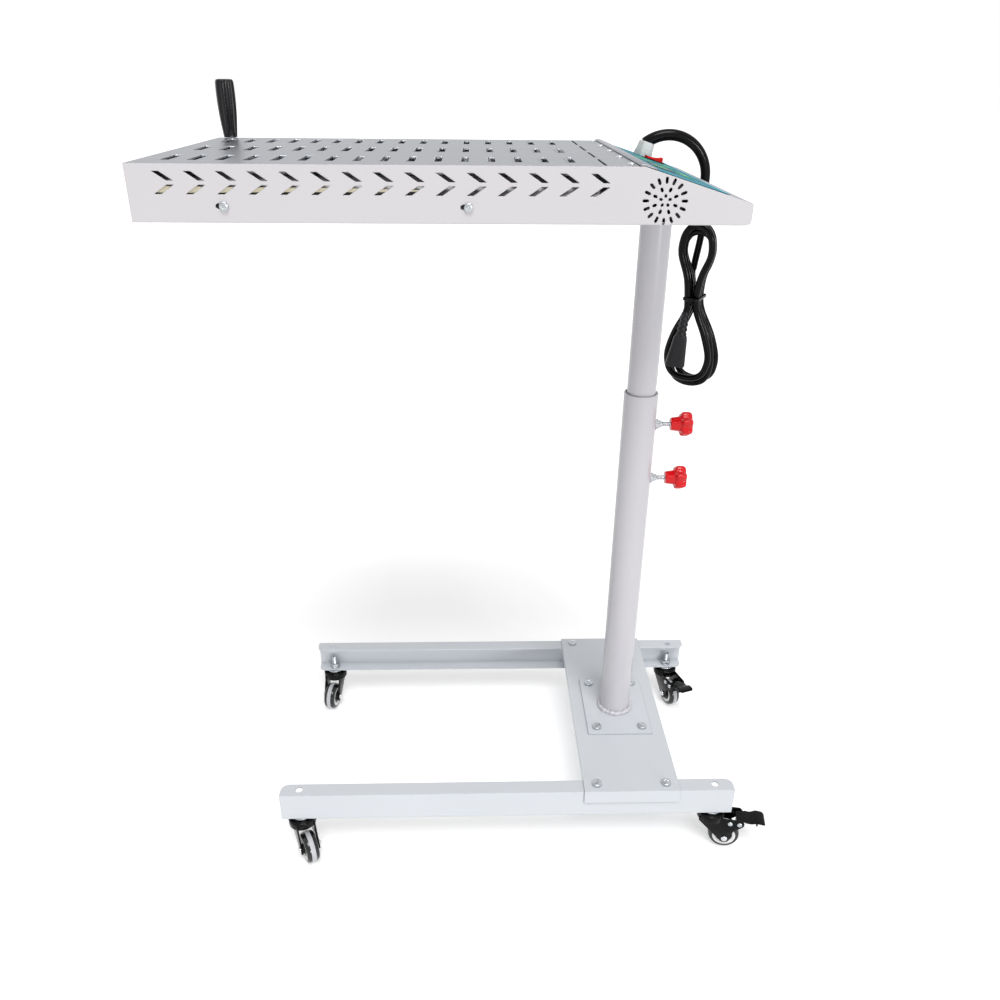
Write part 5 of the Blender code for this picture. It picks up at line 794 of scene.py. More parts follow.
def nut_rings(flats, low, high, hole):
    """A hexagon nut: the flats' radius is cut by a chamfer cone at both ends, round a hole."""
    half = flats / 2
    heights = [low, low, low + 0.0012, high - 0.0012, high, high]
    limit = [hole, half * 1.02, half * 1.14, half * 1.14, half * 1.02, hole]
    return hex_rings([hole, half, half, half, half, hole], heights, limit, 72)


def threaded_rod(radius, pitch, start, end, sides=24, rows=8):
    """A screw: r = R - d |2 frac(x / p - a / 2 pi) - 1|, a saw-tooth that climbs one pitch a turn."""
    x = np.arange(start, end, pitch / rows)[:, None]
    a = angles(sides)
    tooth = np.abs(2 * np.mod(x / pitch - a / math.tau, 1) - 1)
    return around(radius - 0.6 * pitch * tooth * smooth_step((x - start) / pitch), a, x)


ON_FLANGE = RAIL_BOTTOM + 0.002 + CLEAR
bearing = eased(corners_of(0, 0.015, 0.0713, RAIL_BOTTOM - CLEAR), (0, 0.0012, 0.0004, 0), 4)
washer = eased(corners_of(0, 0.0092, ON_FLANGE, ON_FLANGE + 0.0016), (0, 0.0004, 0.0004, 0), 3)
stem = [
    threaded_rod(0.0050, 0.0015, 0.066, RAIL_BOTTOM + 0.0268, 32), turned(bearing, 56), turned(washer, 40),
    nut_rings(0.016, ON_FLANGE + 0.0014, ON_FLANGE + 0.009, 0.0045), nut_rings(0.015, 0.0632, 0.0682, 0.0045),
]
for tag in TAGS:
    ground = caster_frames(tag)[0]
    grids = all_moved(stem, ground)
    piece("stem_" + tag, grids, ZINC_PLATE, "base", replaces=("caster_stem_" + tag,))

# %% Forks
CROWN_RADIUS, CROWN_LOW, CROWN_TOP = 0.0215, 0.058, 0.071
WHEEL_TRAIL, AXLE_HEIGHT = 0.0245, 0.025
BRAKE_X, BRAKE_Z, CHEEK = 0.045, 0.057, 0.0075
FORK_SHEET = 0.0025


def plate(outline, low, high, edge=0.0004):
    """A flat outline in XZ as a plate along Y, its edges eased by shrinking the end outlines."""
    p = np.asarray(outline, float)
    ahead = np.roll(p, -1, 0) - np.roll(p, 1, 0)
    inward = np.column_stack([-ahead[:, 1], ahead[:, 0]]) / np.linalg.norm(ahead, axis=1, keepdims=True)
    area = np.sum(p[:, 0] * np.roll(p[:, 1], -1) - np.roll(p[:, 0], -1) * p[:, 1])
    inward *= math.copysign(1, area)
    rows = []
    for depth, inset in ((0, 1), (0.3, 0.3), (1, 0), (-1, 0), (-0.3, 0.3), (0, 1)):
        y = low + depth * edge if depth > 0 or not rows else high + depth * edge
        q = p + inward * inset * edge
        rows.append(np.column_stack([q[:, 0], np.full(len(q), y), q[:, 1]]))
    return np.array(rows)


def leg_outline(braked):
    """Side view of a cheek: wide under the crown, swept back to a round eye; a brake adds a nose ahead."""
    a = np.radians(np.linspace(205, 352 if braked else 335, 14))
    eye = np.column_stack([WHEEL_TRAIL + 0.0090 * np.cos(a), AXLE_HEIGHT + 0.0090 * np.sin(a)])
    top = CROWN_LOW + 0.0065
    half = CROWN_RADIUS - FORK_SHEET
    right = BRAKE_X + CHEEK
    if braked:
        waist = (WHEEL_TRAIL + 0.0125, BRAKE_Z - CHEEK * 2.1)
        ahead = [
            waist, (right - CHEEK * 0.6, BRAKE_Z - CHEEK), (right, BRAKE_Z - CHEEK * 0.4),
            (right, BRAKE_Z + CHEEK * 0.4), (right - CHEEK * 0.6, top),
        ]
    else:
        ahead = [(half, CROWN_LOW), (half, top)]
    corners = np.vstack([[(-half, top), (-half, CROWN_LOW)], eye, ahead])
    cuts = np.full(len(corners), 0.0025)
    cuts[[0, -1]] = 0.0016
    return eased(corners, cuts, 4, True)


inner = CROWN_RADIUS - FORK_SHEET
crown = [
    (CROWN_RADIUS, CROWN_LOW), (CROWN_RADIUS, CROWN_TOP), (0.0056, CROWN_TOP),
    (0.0056, CROWN_TOP - FORK_SHEET), (inner, CROWN_TOP - FORK_SHEET), (inner, CROWN_LOW),
]
crown = eased(crown, (0.0008, 0.0042, 0.0003, 0.0003, 0.0022, 0.0008), 5, True)
rivet = np.column_stack([0.0040 * np.cos(quarter), 0.0004 + 0.0022 * np.sin(quarter)])
rivet = np.vstack([(0.0040, 0.0), rivet])
pin = eased(corners_of(0, 0.002, -0.0145, 0.0145), 0.0003)
for tag in TAGS:
    ground = caster_frames(tag)[0]
    braked = tag.endswith("right")
    fork = "fork_" + tag
    piece(
        "fork_crown_" + tag, lathe(crown, 64, ground), FORK_ENAMEL, fork,
        ring=True, replaces=("caster_" + fork,),
    )
    outline = leg_outline(braked)
    legs = [plate(outline, *sorted((side * 0.0125, side * LEG_OUTSIDE))) for side in SIDES]
    piece("fork_cheeks_" + tag, all_moved(legs, ground), FORK_ENAMEL, fork)
    if braked:
        heads = []
        for side in SIDES:
            for step in range(2):
                spot = shift(BRAKE_X - step * 0.0145, side * (LEG_OUTSIDE - 0.0002), BRAKE_Z)
                heads += lathe(rivet, 24, ground @ spot @ spun(-side * math.pi / 2, "X"))
        heads += lathe(pin, 20, ground @ shift(BRAKE_X, 0, BRAKE_Z) @ UPRIGHT)
        piece("brake_rivets_" + tag, heads, ZINC_PLATE, fork)

# %% Brake pedals
PEDAL_START, PEDAL_LENGTH, PEDAL_SHEET, PEDAL_HALF, PEDAL_INSIDE = -0.005, 0.040, 0.0026, 0.014, 0.0119
x = np.linspace(PEDAL_START, PEDAL_LENGTH, 46)
halves = (PEDAL_INSIDE, PEDAL_HALF * 0.92, PEDAL_HALF * 0.92, PEDAL_HALF, PEDAL_HALF, PEDAL_HALF * 0.84)
wide = np.interp(x, (0.0078, 0.0104, 0.018, 0.026, 0.036, 0.040), halves)
stations = (PEDAL_START, 0.008, 0.018, 0.026, 0.036, 0.040)
wave = refined(np.column_stack([stations, np.zeros(6), (0, 0, -0.0009, 0.0018, 0.0007, -0.0015)]), 12)
lift = 0.005 - PEDAL_SHEET / 2 + np.interp(x, wave[:, 0], wave[:, 2])
ends = smooth_step(np.minimum((x - PEDAL_START) / 0.0013, (PEDAL_LENGTH - x) / 0.0013)) ** 0.5
c, s = rounded_section(wide, PEDAL_SHEET / 2 * (0.35 + 0.65 * ends), 6.0, 40)
sheet = np.stack([np.broadcast_to(x[:, None], c.shape), c, s + lift[:, None]], axis=-1)
rib = slab((0.026, -0.0115, -0.0027), (0.0286, 0.0115, 0.0052), 0.0008, 0.0006)
shoe = slab((-0.0013, -0.0106, -0.014), (0.0013, 0.0106, 0.0), 0.0006, 0.0006)
shoe = moved(shoe, spun(math.radians(7.6), "Y"))
ear = eased(corners_of(0, 0.005, -0.0013, 0.0013), 0.0004)
ears = lathe(ear, 28, *[shift(0, side * (PEDAL_INSIDE - 0.0013), 0) @ UPRIGHT for side in SIDES])
for tag, raised in (("near_right", 0.0), ("far_right", 14.0)):
    ground = caster_frames(tag)[0]
    pivot = ground @ shift(BRAKE_X, 0, BRAKE_Z) @ spun(-math.radians(raised), "Y")
    grids = all_moved([sheet, rib, shoe, *ears], pivot)
    pedal = "pedal_" + tag
    piece("foot_" + pedal, grids, FORK_ENAMEL, pedal, replaces=("brake_" + pedal,))

# %% [markdown]
# ## Post and knobs
#
# The post is two tubes, one sliding in the other. The lower tube is welded to its flange with a
# rippled bead and carries two welded bosses, and a star knob on a threaded screw clamps the upper
# tube through each. The bead is a ring whose section swells and shrinks as it goes round, the way
# a hand weld builds up drop by drop, and the star is a circle whose radius falls between lobes.

# %% Tubes, bosses and weld
TUBE_RIM, MAST_BOTTOM = 0.707, 0.297
FOOT = FOOT_TOP + CLEAR
KNOB_HEIGHTS = {"upper": 0.657, "lower": 0.5695}
BOSS_RADIUS, BOSS_LENGTH = 0.00775, 0.0093

cuts = (0.0003, 0.0011, 0.0011, 0.0003)
wall = pipe(TUBE_RADIUS, TUBE_RADIUS - 0.003, FOOT, TUBE_RIM, cuts)
piece(
    "lower_post", lathe(wall, 96, POST), TUBE_COAT, "base",
    ring=True, replaces=("lower_tube",),
)
boss = [(0.0038, 0.0235), (0.0082, 0.0235), (0.0076, 0.0270)]
boss += [(0.0054, 0.0315), (0.0048, 0.0340), (0.0038, 0.0340)]
boss = eased(boss, (0.0002, 0.0002, 0.0014, 0.0014, 0.0006, 0.0002), 5, True)
bosses = lathe(boss, 48, *[POST @ shift(0, 0, z) @ ALONG_X for z in KNOB_HEIGHTS.values()])
piece("clamp_bosses", bosses, ZINC_PLATE, "base", ring=True)


def weld_bead(radius, size, ripples, sides=288, section=14):
    """A hand-laid bead: its section swells by three sines of the angle that never fall in step."""
    a, s = angles(sides)[:, None], angles(section)
    lag = 0.8 * np.cos(s) + 1.6 * np.sin(2 * a + 0.7) + 1.1 * np.sin(5 * a)
    waves = 0.09 * np.sin(ripples * a + lag) + 0.13 * np.sin(ripples // 3 * a + 2 * lag)
    swell = size * (1 + waves + 0.12 * np.sin(7 * a + 1.0))
    return around(radius + swell * np.cos(s), a, swell * np.sin(s))


beads = [moved(weld_bead(TUBE_RADIUS + 0.0010, 0.0040, 29), POST @ shift(0, 0, FOOT + 0.0014))]
for z in KNOB_HEIGHTS.values():
    small = weld_bead(BOSS_RADIUS + 0.0002, 0.0013, 18, 144, 10)
    beads.append(moved(small, POST @ shift(TUBE_RADIUS - 0.0004, 0, z) @ ALONG_X))
piece("weld_beads", beads, TUBE_COAT, "base", ring=True)

mast_top = mast_high.z - POST.translation.z
wall = pipe(MAST_RADIUS, MAST_RADIUS - 0.002, MAST_BOTTOM, mast_top, 0.0008)
piece(
    "upper_post", lathe(wall, 96, POST), TUBE_COAT, "mast",
    ring=True, replaces=("upper_tube",),
)

# The collar's section: radius and height above the head's underside.
COLLAR = (
    (0, 0.021), (0.0216, 0.021), (0.0216, -0.006), (0.024, -0.006), (0.024, 0.0033),
    (0.042, 0.0033), (0.042, 0.0063), (0.024, 0.0063), (0.024, 0.024), (0, 0.024),
)
socket = eased([(r, HEAD_BOTTOM + up) for r, up in COLLAR], 0.0006, 4)
piece("head_collar", lathe(socket, 96, POST), TUBE_COAT, "head", replaces=("head_socket",))
print("lower post to", TUBE_RIM, "m")

# %% Star knobs on their clamping screws
HUB_START = TUBE_RADIUS + BOSS_LENGTH + 0.0131
KNOB_START, KNOB_DEEP, LOBES = HUB_START + 0.0155, 0.016, 6


def star(stations, lobes, sides):
    """Rings of r(a) = R - d (0.5 - 0.5 cos(n a)): full radius on a lobe, d less between lobes."""
    radius, depth, height = np.asarray(stations, float).T[:, :, None]
    a = angles(sides)
    return around(radius - depth * (0.5 - 0.5 * np.cos(lobes * a)), a, height)


back, face = KNOB_START, KNOB_START + KNOB_DEEP
stations = eased(
    [
        (0.0, 0.0, HUB_START), (0.0098, 0.0008, HUB_START), (0.0118, 0.0008, back - 0.002),
        (0.0165, 0.0036, back - 0.0004), (0.0190, 0.0045, back + 0.0016), (0.0190, 0.0045, back + 0.0115),
        (0.0166, 0.0040, face - 0.0006), (0.0112, 0.0018, face), (0.0098, 0.0, face - 0.0012),
        (0.0, 0.0, face - 0.0012),
    ],
    (0, 0.0009, 0.0022, 0.0016, 0.0020, 0.0040, 0.0022, 0.0007, 0.0006, 0), 5,
)
for word, z in KNOB_HEIGHTS.items():
    axis = POST @ shift(0, 0, z) @ ALONG_X
    knob = "knob_" + word
    stars = [moved(star(stations, LOBES, 144), axis)]
    piece("knob_star_" + word, stars, RED_PHENOLIC, knob, replaces=("star_" + knob,))
    rod = threaded_rod(0.0036, 0.0010, MAST_RADIUS + CLEAR, HUB_START + 0.006)
    piece("clamp_screw_" + word, [moved(rod, axis)], CHROME, knob)
print("knob from", round(HUB_START, 4), "to", round(face, 4))

# %% [markdown]
# ## Handle and gland
#
# The handle is a tapered grip with shallow flutes that turns on a bolt through the cover, and the
# gland is a nylon fitting: a six-sided collar with a cap that squeezes the boot. Both are turned
# shapes whose radius depends on the angle, by flutes on the one and by six flats on the other.

# %% Handle and cable gland
HANDLE_X, HANDLE_Y, GRIP_LENGTH, GRIP_BASE = -0.5975, 0.183, 0.076, 0.0018
# The grip's radius, the depth of its flutes and its height as a share of the length.
GRIP = (
    (0.0, 0.0, 0.0), (0.0091, 0.0003, 0.0), (0.0099, 0.0005, 0.03), (0.0112, 0.0012, 0.18),
    (0.0126, 0.0016, 0.38), (0.0132, 0.0016, 0.56), (0.0134, 0.0016, 0.76), (0.0130, 0.0014, 0.93),
    (0.0118, 0.0008, 0.982), (0.0086, 0.0, 0.998), (0.0, 0.0, 1.0),
)
grip = refined(np.array(GRIP), 8) * (1, 1, GRIP_LENGTH) + (0, 0, GRIP_BASE)
grip[:, 0] = np.clip(grip[:, 0], 0, None)
grips = [moved(star(grip, 8, 128), POST @ shift(HANDLE_X, HANDLE_Y, HEAD_TOP))]
piece("handle_grip_body", grips, GRIP_PVC, "grip", sharp=60, replaces=("handle_grip",))

half = 0.0245 / 2
heights = [0.0003, 0.0003, 0.0015, 0.007, 0.007]
collar = hex_rings([0, half, half, half, 0], heights, [0, 0.0133, 0.0139, 0.0136, 0])
heights = [0.0066, 0.0066, 0.0076, 0.0120, 0.0165, 0.0195, GLAND_HEIGHT, GLAND_HEIGHT, 0.0175, 0.0175]
flats = [0, 0.0112, 0.0113, 0.0110, 0.0106, 0.0103, 0.0098, 0.0086, 0.0086, 0]
cap = hex_rings(flats, heights, [0, 0.0126, 0.0129, 0.0125, 0.0121, 0.0117, 0.0106, 0.0086, 0.0086, 0])
nut = hex_rings([0, half, half, 0], [-0.0066, -0.0066, -0.0016, -0.0016], [0, 0.0136, 0.0139, 0])
stub = turned([(0.009, -0.002), (0.009, 0.001)], 32)
grids = all_moved([collar, cap, nut, stub], slope_place(GLAND_ALONG, GLAND_Y))
piece("gland_body", grids, GLAND_NYLON, "head", replaces=("cable_gland",))

# %% [markdown]
# ## Lamps
#
# Under the head hang eight quartz lamps. Each is a clear tube with a coil of resistance wire down
# its middle, held off the glass by small rings, and a ceramic end that hangs in a slotted rack.
# The coil is the path (r cos w, r sin w, x) and its wire is drawn a little thick, because the real
# 0.4 mm wire would be lost in the picture. It keeps a dull red, as in the first seconds of heat.

# %% Quartz tubes, coils and ceramic ends
LAMP_YS = (np.arange(8) - 3.5) * 0.043
LAMP_Z = HEAD_BOTTOM + 0.021
LAMP_LEFT, LAMP_RIGHT = -0.5717, -0.1275
CAP_LENGTH, COIL_PITCH, COIL_RADIUS = 0.012, 0.0032, 0.0021

wire_shader = RESISTANCE_WIRE.node_tree.nodes["Principled BSDF"]
set_values(wire_shader, {"Emission Color": linear("#FF5A28"), "Emission Strength": 0.5})

glass = eased(corners_of(0.0050, 0.0060, LAMP_LEFT + 0.006, LAMP_RIGHT - 0.006), 0.0002, 2, True)
end = [(0, -0.006), (0.0045, -0.006), (0.0045, 0), (0.0080, 0), (0.0080, CAP_LENGTH), (0.0, CAP_LENGTH)]
end = eased(end, (0, 0.0006, 0.0002, 0.001, 0.001, 0), 4)
x = np.linspace(LAMP_LEFT + CAP_LENGTH, LAMP_RIGHT - CAP_LENGTH, 1400)
w = math.tau * x / COIL_PITCH
coil = np.column_stack([COIL_RADIUS * np.cos(w), COIL_RADIUS * np.sin(w), x])
coil = along_path(coil, 0.00042, 4, (0, 0, 1))
lamp_tubes, lamp_ends, coils, holders = [], [], [], []
for y in LAMP_YS:
    line = POST @ shift(0, y, LAMP_Z) @ ALONG_X
    lamp_tubes += lathe(glass, 32, line)
    left = line @ shift(0, 0, LAMP_LEFT + CLEAR)
    right = line @ shift(0, 0, LAMP_RIGHT - CLEAR) @ spun(math.pi, "X")
    lamp_ends += lathe(end, 32, left, right)
    coils.append(moved(coil, line))
    for spot in np.arange(LAMP_LEFT + 0.036, LAMP_RIGHT - 0.02, 0.038):
        loop = eased(corners_of(0.0040, 0.0049, spot - 0.0004, spot + 0.0004), 0.0002, 1, True)
        holders += lathe(loop, 20, line)
names = [f"quartz_element_{i}" for i in range(1, 9)]
piece("lamp_tubes", lamp_tubes, QUARTZ, "head", ring=True, replaces=names)
piece("lamp_ends", lamp_ends, STEATITE, "head")
piece("lamp_coils", coils, RESISTANCE_WIRE, "head", sharp=80)
piece("coil_holders", holders, ZINC_PLATE, "head", ring=True)
print("lamps", len(LAMP_YS), "of", round((LAMP_RIGHT - LAMP_LEFT) * 1000), "mm")

# %% [markdown]
# ## Screws and rivets
#
# The sheets are held with zinc-plated pan-head screws with a cross recess, and the cover is pinned
# to the wall behind it with five small blind rivets. A head is one function of radius and angle: a
# flattened dome, less a pit where the point lies inside either arm of the cross.


# %% Screw heads and rivets
def screw_head(radius, height, sink, rings=16, sides=64):
    """z = H (1 - 0.35 (r/R)^2.5) less a pit d on a cross, with a straight skirt below."""
    r = np.linspace(0, 1, rings)[:, None] * radius
    a = angles(sides)
    x, y = np.abs(r * np.cos(a)), np.abs(r * np.sin(a))
    arm, wide = radius * 0.55, radius * 0.13
    cross = np.maximum(
        smooth_step((wide - y) / (wide * 0.5) + 0.5) * smooth_step((arm - x) / wide),
        smooth_step((wide - x) / (wide * 0.5) + 0.5) * smooth_step((arm - y) / wide),
    )
    top = around(r, a, height * (1 - 0.35 * (r / radius) ** 2.5) - sink * cross)
    rim = turned([(radius * 1.02, height * 0.5), (radius * 1.02, 0)], sides)
    return np.concatenate([top, rim])


# Half the spacing of the screws on the foot and on the rails, and the height of the sheet there.
base_spots = [
    (sx * x, sy * y, z)
    for x, y, z in ((0.0385, 0.058, FOOT_TOP), (0.0545, 0.185, RAIL_TOP + 0.0028))
    for sx in SIDES
    for sy in SIDES
]
side_spots = [(x, side) for x in (-0.516, -0.249) for side in SIDES]
turns = np.random.default_rng(7).uniform(0, math.pi / 2, len(base_spots) + len(side_spots))
head = screw_head(0.0076, 0.0056, 0.0011)
grids = [moved(head, POST @ shift(*spot) @ spun(t, "Z")) for spot, t in zip(base_spots, turns)]
piece("base_screw_heads", grids, ZINC_PLATE, "base")

head = screw_head(0.0050, 0.0038, 0.0008)
grids = []
for (x, side), t in zip(side_spots, turns[len(base_spots) :]):
    place = POST @ shift(x, side * HEAD_HALF, HEAD_BOTTOM + 0.0175)
    grids.append(moved(head, place @ spun(-side * math.pi / 2, "X") @ spun(t, "Z")))
piece("side_screw_heads", grids, ZINC_PLATE, "head")

rivet_head = [(0, 0.0017), (0.0011, 0.0016), (0.0014, 0.0024), (0.0037, 0.0014), (0.0039, 0.0), (0.0, 0.0)]
rivet_head = eased(rivet_head, (0, 0.0003, 0.0004, 0.001, 0, 0), 4)
rivets = lathe(rivet_head, 28, *[POST @ shift(-0.0685, (i - 2) * 0.086, HEAD_TOP) for i in range(5)])
piece("cover_rivet_heads", rivets, CHROME, "head")
print("screw heads", len(turns))

# %% [markdown]
# ## Thin trim of the head
#
# The cover ends in a hem that stands 2 mm proud, and a thin lip runs from it down over the film.
# The punch leaves a thin lip along one long edge of each slot and round its far end; it is drawn in
# bright zinc, lighter than the cover's steel, as a painted highlight. A cream strip behind each side
# sheet, below the vents' middle and narrowing to the right, is painted light showing through the vents.

# %% The cover's folded edge
LIP_RUN, HEM_RISE, LIP_SHEET = 0.015, 0.0022, 0.0008
down = np.array([math.cos(SLOPE_ANGLE), -math.sin(SLOPE_ANGLE)])
out = np.array([math.sin(SLOPE_ANGLE), math.cos(SLOPE_ANGLE)])
bend = np.array([SLOPE_TOP_X, HEAD_TOP])
foot = bend + down * LIP_RUN + out * 0.0010
lip_line = [
    bend + (-0.0050, 0.0001), bend + (0.0004, 0.0001), foot, foot + out * LIP_SHEET,
    bend + (0.0012, HEM_RISE), bend + (-0.0050, HEM_RISE),
]
lip_line = eased(lip_line, (0.0008, 0.0004, 0.0002, 0.0002, 0.0014, 0.0010), 5, True)
edge_lip = moved(plate(lip_line, -HEAD_HALF + 0.0012, HEAD_HALF - 0.0012, 0.0001), POST)
piece("cover_edge_lip", [edge_lip], BRUSHED_STEEL, "head")

# %% Raised lips of the cover's slots
SLOT_LAST_X, SLOT_PITCH_X, SLOT_PITCH_Y, SLOT_COLUMNS = -0.132, 0.0303, 0.130, 16
SLOT_WIDTH, SLOT_LENGTH, LIP_RADIUS = 0.008, 0.050, 0.0011
near, far = -SLOT_LENGTH / 2, SLOT_LENGTH / 2 + 0.0005
left, right = -SLOT_WIDTH / 2 - 0.0008, SLOT_WIDTH / 2
lip = at_height(eased([(left, near), (left, far), (right, far)], (0, 0.0022, 0), 5), HEAD_TOP + 0.0005)
fade = np.interp(np.linspace(0, 1, len(lip)), (0, 0.25, 0.7, 1), (0.35, 1, 1, 0.3))
lips = []
for column in range(SLOT_COLUMNS):
    for row in (-1, 0, 1):
        line = moved(lip, shift(SLOT_LAST_X - column * SLOT_PITCH_X, row * SLOT_PITCH_Y, 0))
        lips.append(moved(along_path(line, LIP_RADIUS * fade, 6, (0, 0, 1)), POST))
# Bright zinc on the lips, lighter than the cover's steel: a painted highlight along each slot.
piece("slot_lips", lips, ZINC_PLATE, "head", sharp=70)

# %% Painted light behind the side vents
VENT_LIGHT_Y, VENT_LIGHT_THICK, VENT_LIGHT_Z = HEAD_HALF - 0.0016, 0.0009, HEAD_BOTTOM + 0.0345
# A cream strip behind the vents: painted light that shows through the lower vents.
VENT_LIGHT_PAINT = skin("painted_vent_light", "#DDD5BC", 0.7, 0.9, 0.03, 0.10, 0.2, 0.1)
x = np.linspace(HEAD_LEFT + 0.030, -0.300, 40)
share = np.linspace(0, 1, len(x))
half = 0.0032 * (1 - 0.8 * share**2) + 0.0004 * np.sin(share * 61)
outline = np.vstack([np.column_stack([x, VENT_LIGHT_Z - half]), np.column_stack([x, VENT_LIGHT_Z + half])[::-1]])
sheets = [sorted((side * VENT_LIGHT_Y, side * (VENT_LIGHT_Y - VENT_LIGHT_THICK))) for side in SIDES]
vent_lights = [moved(plate(outline, *sheet, 0.0002), POST) for sheet in sheets]
piece("painted_vent_light_strip", vent_lights, VENT_LIGHT_PAINT, "head")

# %% [markdown]
# ## Control panel
#
# The slope carries a printed polyester film, teal with a pale cyan border, and under it a small
# controller whose window shows a number. Soft green fields mark the keys. The key of the power
# switch is red and tips between its two ends. Everything printed is plain: a number and arrows.

# %% Film, window, keys and digits
film, tree, shader, where = new_material("printed_polyester_film")
# Screen-printed polyester: satin front over flat ink, so the colour is even and the gloss soft.
cloud = add(tree, "TexNoise", {"Scale": 14.0, "Detail": 2.0}, {"Vector": where})
ramp = add(tree, "ValToRGB", links={"Fac": cloud.outputs["Fac"]})
ramp.color_ramp.elements[0].color = linear("#0F6C7F")
ramp.color_ramp.elements[1].color = linear("#1B8A9C")
tree.links.new(ramp.outputs["Color"], shader.inputs["Base Color"])
grain = add(tree, "TexNoise", {"Scale": 1400.0}, {"Vector": where})
bump = add(tree, "Bump", {"Strength": 1.0, "Distance": 0.000004}, {"Height": grain.outputs["Fac"]})
tree.links.new(bump.outputs[0], shader.inputs["Normal"])
set_values(shader, {"Roughness": 0.50, "Specular IOR Level": 0.10})

CYAN_INK = skin("cyan_border_ink", "#74D2EA", 0.5, 0.7, 0.002, 0.03, 0.3, 0.1)
GREEN_KEY = skin("green_key_ink", "#4FB07E", 0.5, 0.7, 0.002, 0.05, 0.3, 0.1)
SMOKED_WINDOW = skin("smoked_window", "#0B0F10", 0.30, 1.0, 0.001, 0.05, 0.3, 0.08)
GREEN_GLOW = {"Emission Color": linear("#46D98A"), "Emission Strength": 0.25}
LED_DIGITS = skin("green_led_digits", "#3FBF7A", 0.3, 1.0, 0.001, 0.02, 0.3, **GREEN_GLOW)
WHITE_INK = skin("white_ink", "#EDEFF0", 0.4, 0.8, 0.001, 0.02, 0.2)

FILM_TOP = 0.0008
FILM_START, FILM_RUN, FILM_HALF = 0.008, 0.096, 0.1845


def on_film(low, high, corner, thick, base=FILM_TOP):
    """A thin slab on the film; low and high are (along the slope, across it)."""
    grid = slab((*low, base), (*high, base + thick), corner, thick * 0.45)
    return moved(grid, slope_place(0, 0))


BORDER, BORDER_GAP = 0.0045, 0.0004
x0, x3 = FILM_START + BORDER_GAP, FILM_START + FILM_RUN - BORDER_GAP
x1, x2 = FILM_START + BORDER, FILM_START + FILM_RUN - BORDER
y1, y0 = FILM_HALF - BORDER, FILM_HALF - BORDER_GAP
bars = (((x0, -y0), (x1, y0)), ((x2, -y0), (x3, y0)), ((x1, -y0), (x2, -y1)), ((x1, y1), (x2, y0)))
piece("film_border", [on_film(*bar, 0.0004, 0.0002) for bar in bars], CYAN_INK, "head")
window_y = -0.075
window = on_film((0.030, window_y - 0.034), (0.056, window_y + 0.034), 0.003, 0.0005)
piece("display_window", [window], SMOKED_WINDOW, "head")

# Each digit is made of the bars a to g: a, g and d lie across it from top to bottom, b and c are
# on its right and f and e on its left.
DIGIT_PLACE, DIGIT_PITCH, DIGIT_W, DIGIT_H, BAR = 0.043, 0.0165, 0.0090, 0.0160, 0.0016
SEGMENTS = {"1": "bc", "8": "abcdefg", "0": "abcdef"}
h, w = DIGIT_H / 2, DIGIT_W / 2
BARS = {
    "a": ((-h, -w + BAR), (-h + BAR, w - BAR)), "d": ((h - BAR, -w + BAR), (h, w - BAR)),
    "g": ((-BAR / 2, -w + BAR), (BAR / 2, w - BAR)), "b": ((-h + BAR, w - BAR), (-BAR / 2, w)),
    "c": ((BAR / 2, w - BAR), (h - BAR, w)), "f": ((-h + BAR, -w), (-BAR / 2, -w + BAR)),
    "e": ((BAR / 2, -w), (h - BAR, -w + BAR)),
}
digits = []
for index, digit in enumerate("180"):
    middle = np.array([DIGIT_PLACE, window_y + (index - 1) * DIGIT_PITCH])
    for bar in SEGMENTS[digit]:
        low, high = BARS[bar]
        digits.append(on_film(middle + low, middle + high, 0.0004, 0.0002, FILM_TOP + 0.0004))
piece("display_digits", digits, LED_DIGITS, "head")

key_ys = window_y + (np.arange(4) - 1.5) * 0.0185
keys = [on_film((0.066, y - 0.0065), (0.079, y + 0.0065), 0.003, 0.0005) for y in key_ys]
arrows = []
for y, way in ((key_ys[1], -1), (key_ys[2], 1)):
    tip, foot = 0.0725 + way * 0.0028, 0.0725 - way * 0.0022
    outline = eased([(tip, y), (foot, y - 0.0032), (foot, y + 0.0032)], 0.0005, 3, True)
    rings = [at_height(outline, FILM_TOP + rise) for rise in (0.0004, 0.0007)]
    arrows.append(moved(rings, slope_place(0, 0)))
piece("film_keys", keys, GREEN_KEY, "head")
piece("key_arrows", arrows, WHITE_INK, "head")
ends = ((0.064, 0.082), (0.030, 0.052))
fields = [on_film((start, 0.012), (stop, 0.060), 0.003, 0.0002) for start, stop in ends]
piece("film_fields", fields, GREEN_KEY, "head")

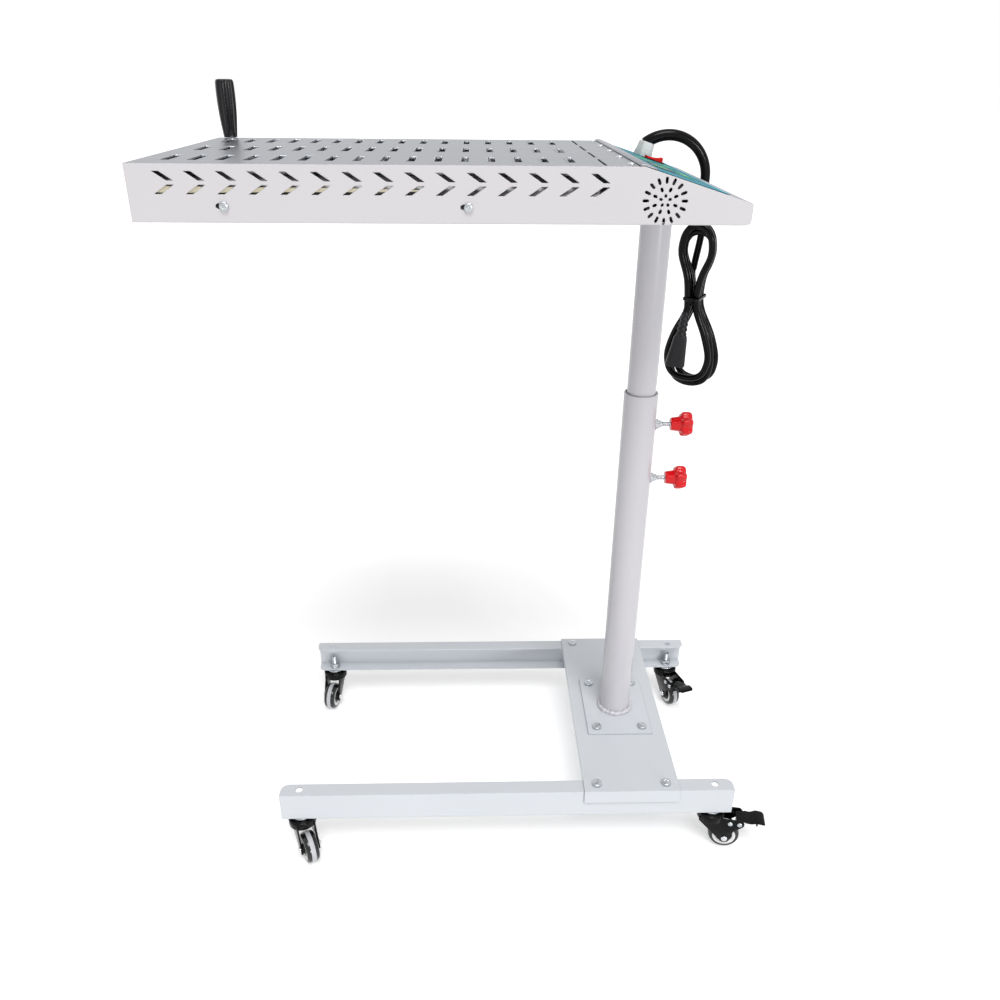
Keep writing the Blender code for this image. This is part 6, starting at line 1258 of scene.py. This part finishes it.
# %% Rocker key
# The key is drawn in slices from end to end: its top dips as H - d (1 - x^2)^0.8 between the ends,
# and the last slices shrink a little, so that the ends are rounded.
KEY_HALF, KEY_WIDE, KEY_TOP, KEY_DIP = 0.0118, 0.0084, 0.0056, 0.0020
ends = KEY_HALF - np.array([0, 0.0001, 0.0004, 0.0009])
x = np.concatenate([-ends, np.linspace(-KEY_HALF + 0.0016, KEY_HALF - 0.0016, 31), ends[::-1]])
shrink = np.ones(len(x))
shrink[:3], shrink[-3:] = (0.90, 0.95, 0.985), (0.985, 0.95, 0.90)
top_line = KEY_TOP - KEY_DIP * (1 - np.clip(np.abs(x / KEY_HALF), 0, 1) ** 2) ** 0.8
bottom = np.interp(x, (-KEY_HALF, -0.0041, 0.0041, KEY_HALF), (-0.003, -0.006, -0.006, -0.003))
c, s = rounded_section(KEY_WIDE * shrink, (top_line - bottom) / 2 * shrink, 11, 56)
middle = (top_line + bottom)[:, None] / 2
slices = np.stack([np.broadcast_to(x[:, None], c.shape), c, s + middle], axis=-1)
key_grids = [moved(slices, slope_place(0.0695, 0.105, 0.0011) @ spun(math.radians(-8), "Y"))]
piece("switch_key", key_grids, RED_ACRYLIC, "rocker", replaces=("rocker_key",))

# %% [markdown]
# ## Finishes on the sheet parts
#
# The rails, panels, cover and the parts inside the box are flat sheet and keep their solids. Each
# gets the finish of its real metal or paint; the Bevel node inside it softens the folds.

# %% Dress the solids that stay
DRESS = (
    (FRAME_COAT, ("rail_near", "rail_far", "cross_plate", "post_flange")),
    (HEAD_COAT, ("side_panel_near", "side_panel_far")),
    (BRUSHED_STEEL, ("top_cover",)),
    (GALVANISED, ("control_floor", "bulkhead", "tube_rack_left", "tube_rack_right")),
    (REFLECTOR, ("reflector_tray",)),
    (BLACK_ABS, ("fan_frame", "fan_rotor", "controller_unit", "rocker_body")),
    (film, ("control_film",)),
    (CHROME, ("handle_bolt",)),
)
for finish, names in DRESS:
    for name in names:
        mesh = nodes[name].data
        if not len(mesh.materials):
            mesh.materials.append(finish)
        for place in nodes[name].material_slots:
            place.material = finish
print("dressed", sum(len(names) for finish, names in DRESS))

# %% Sizes and finish
low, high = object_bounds()
print("box", [round(b - a, 4) for a, b in zip(low, high)])
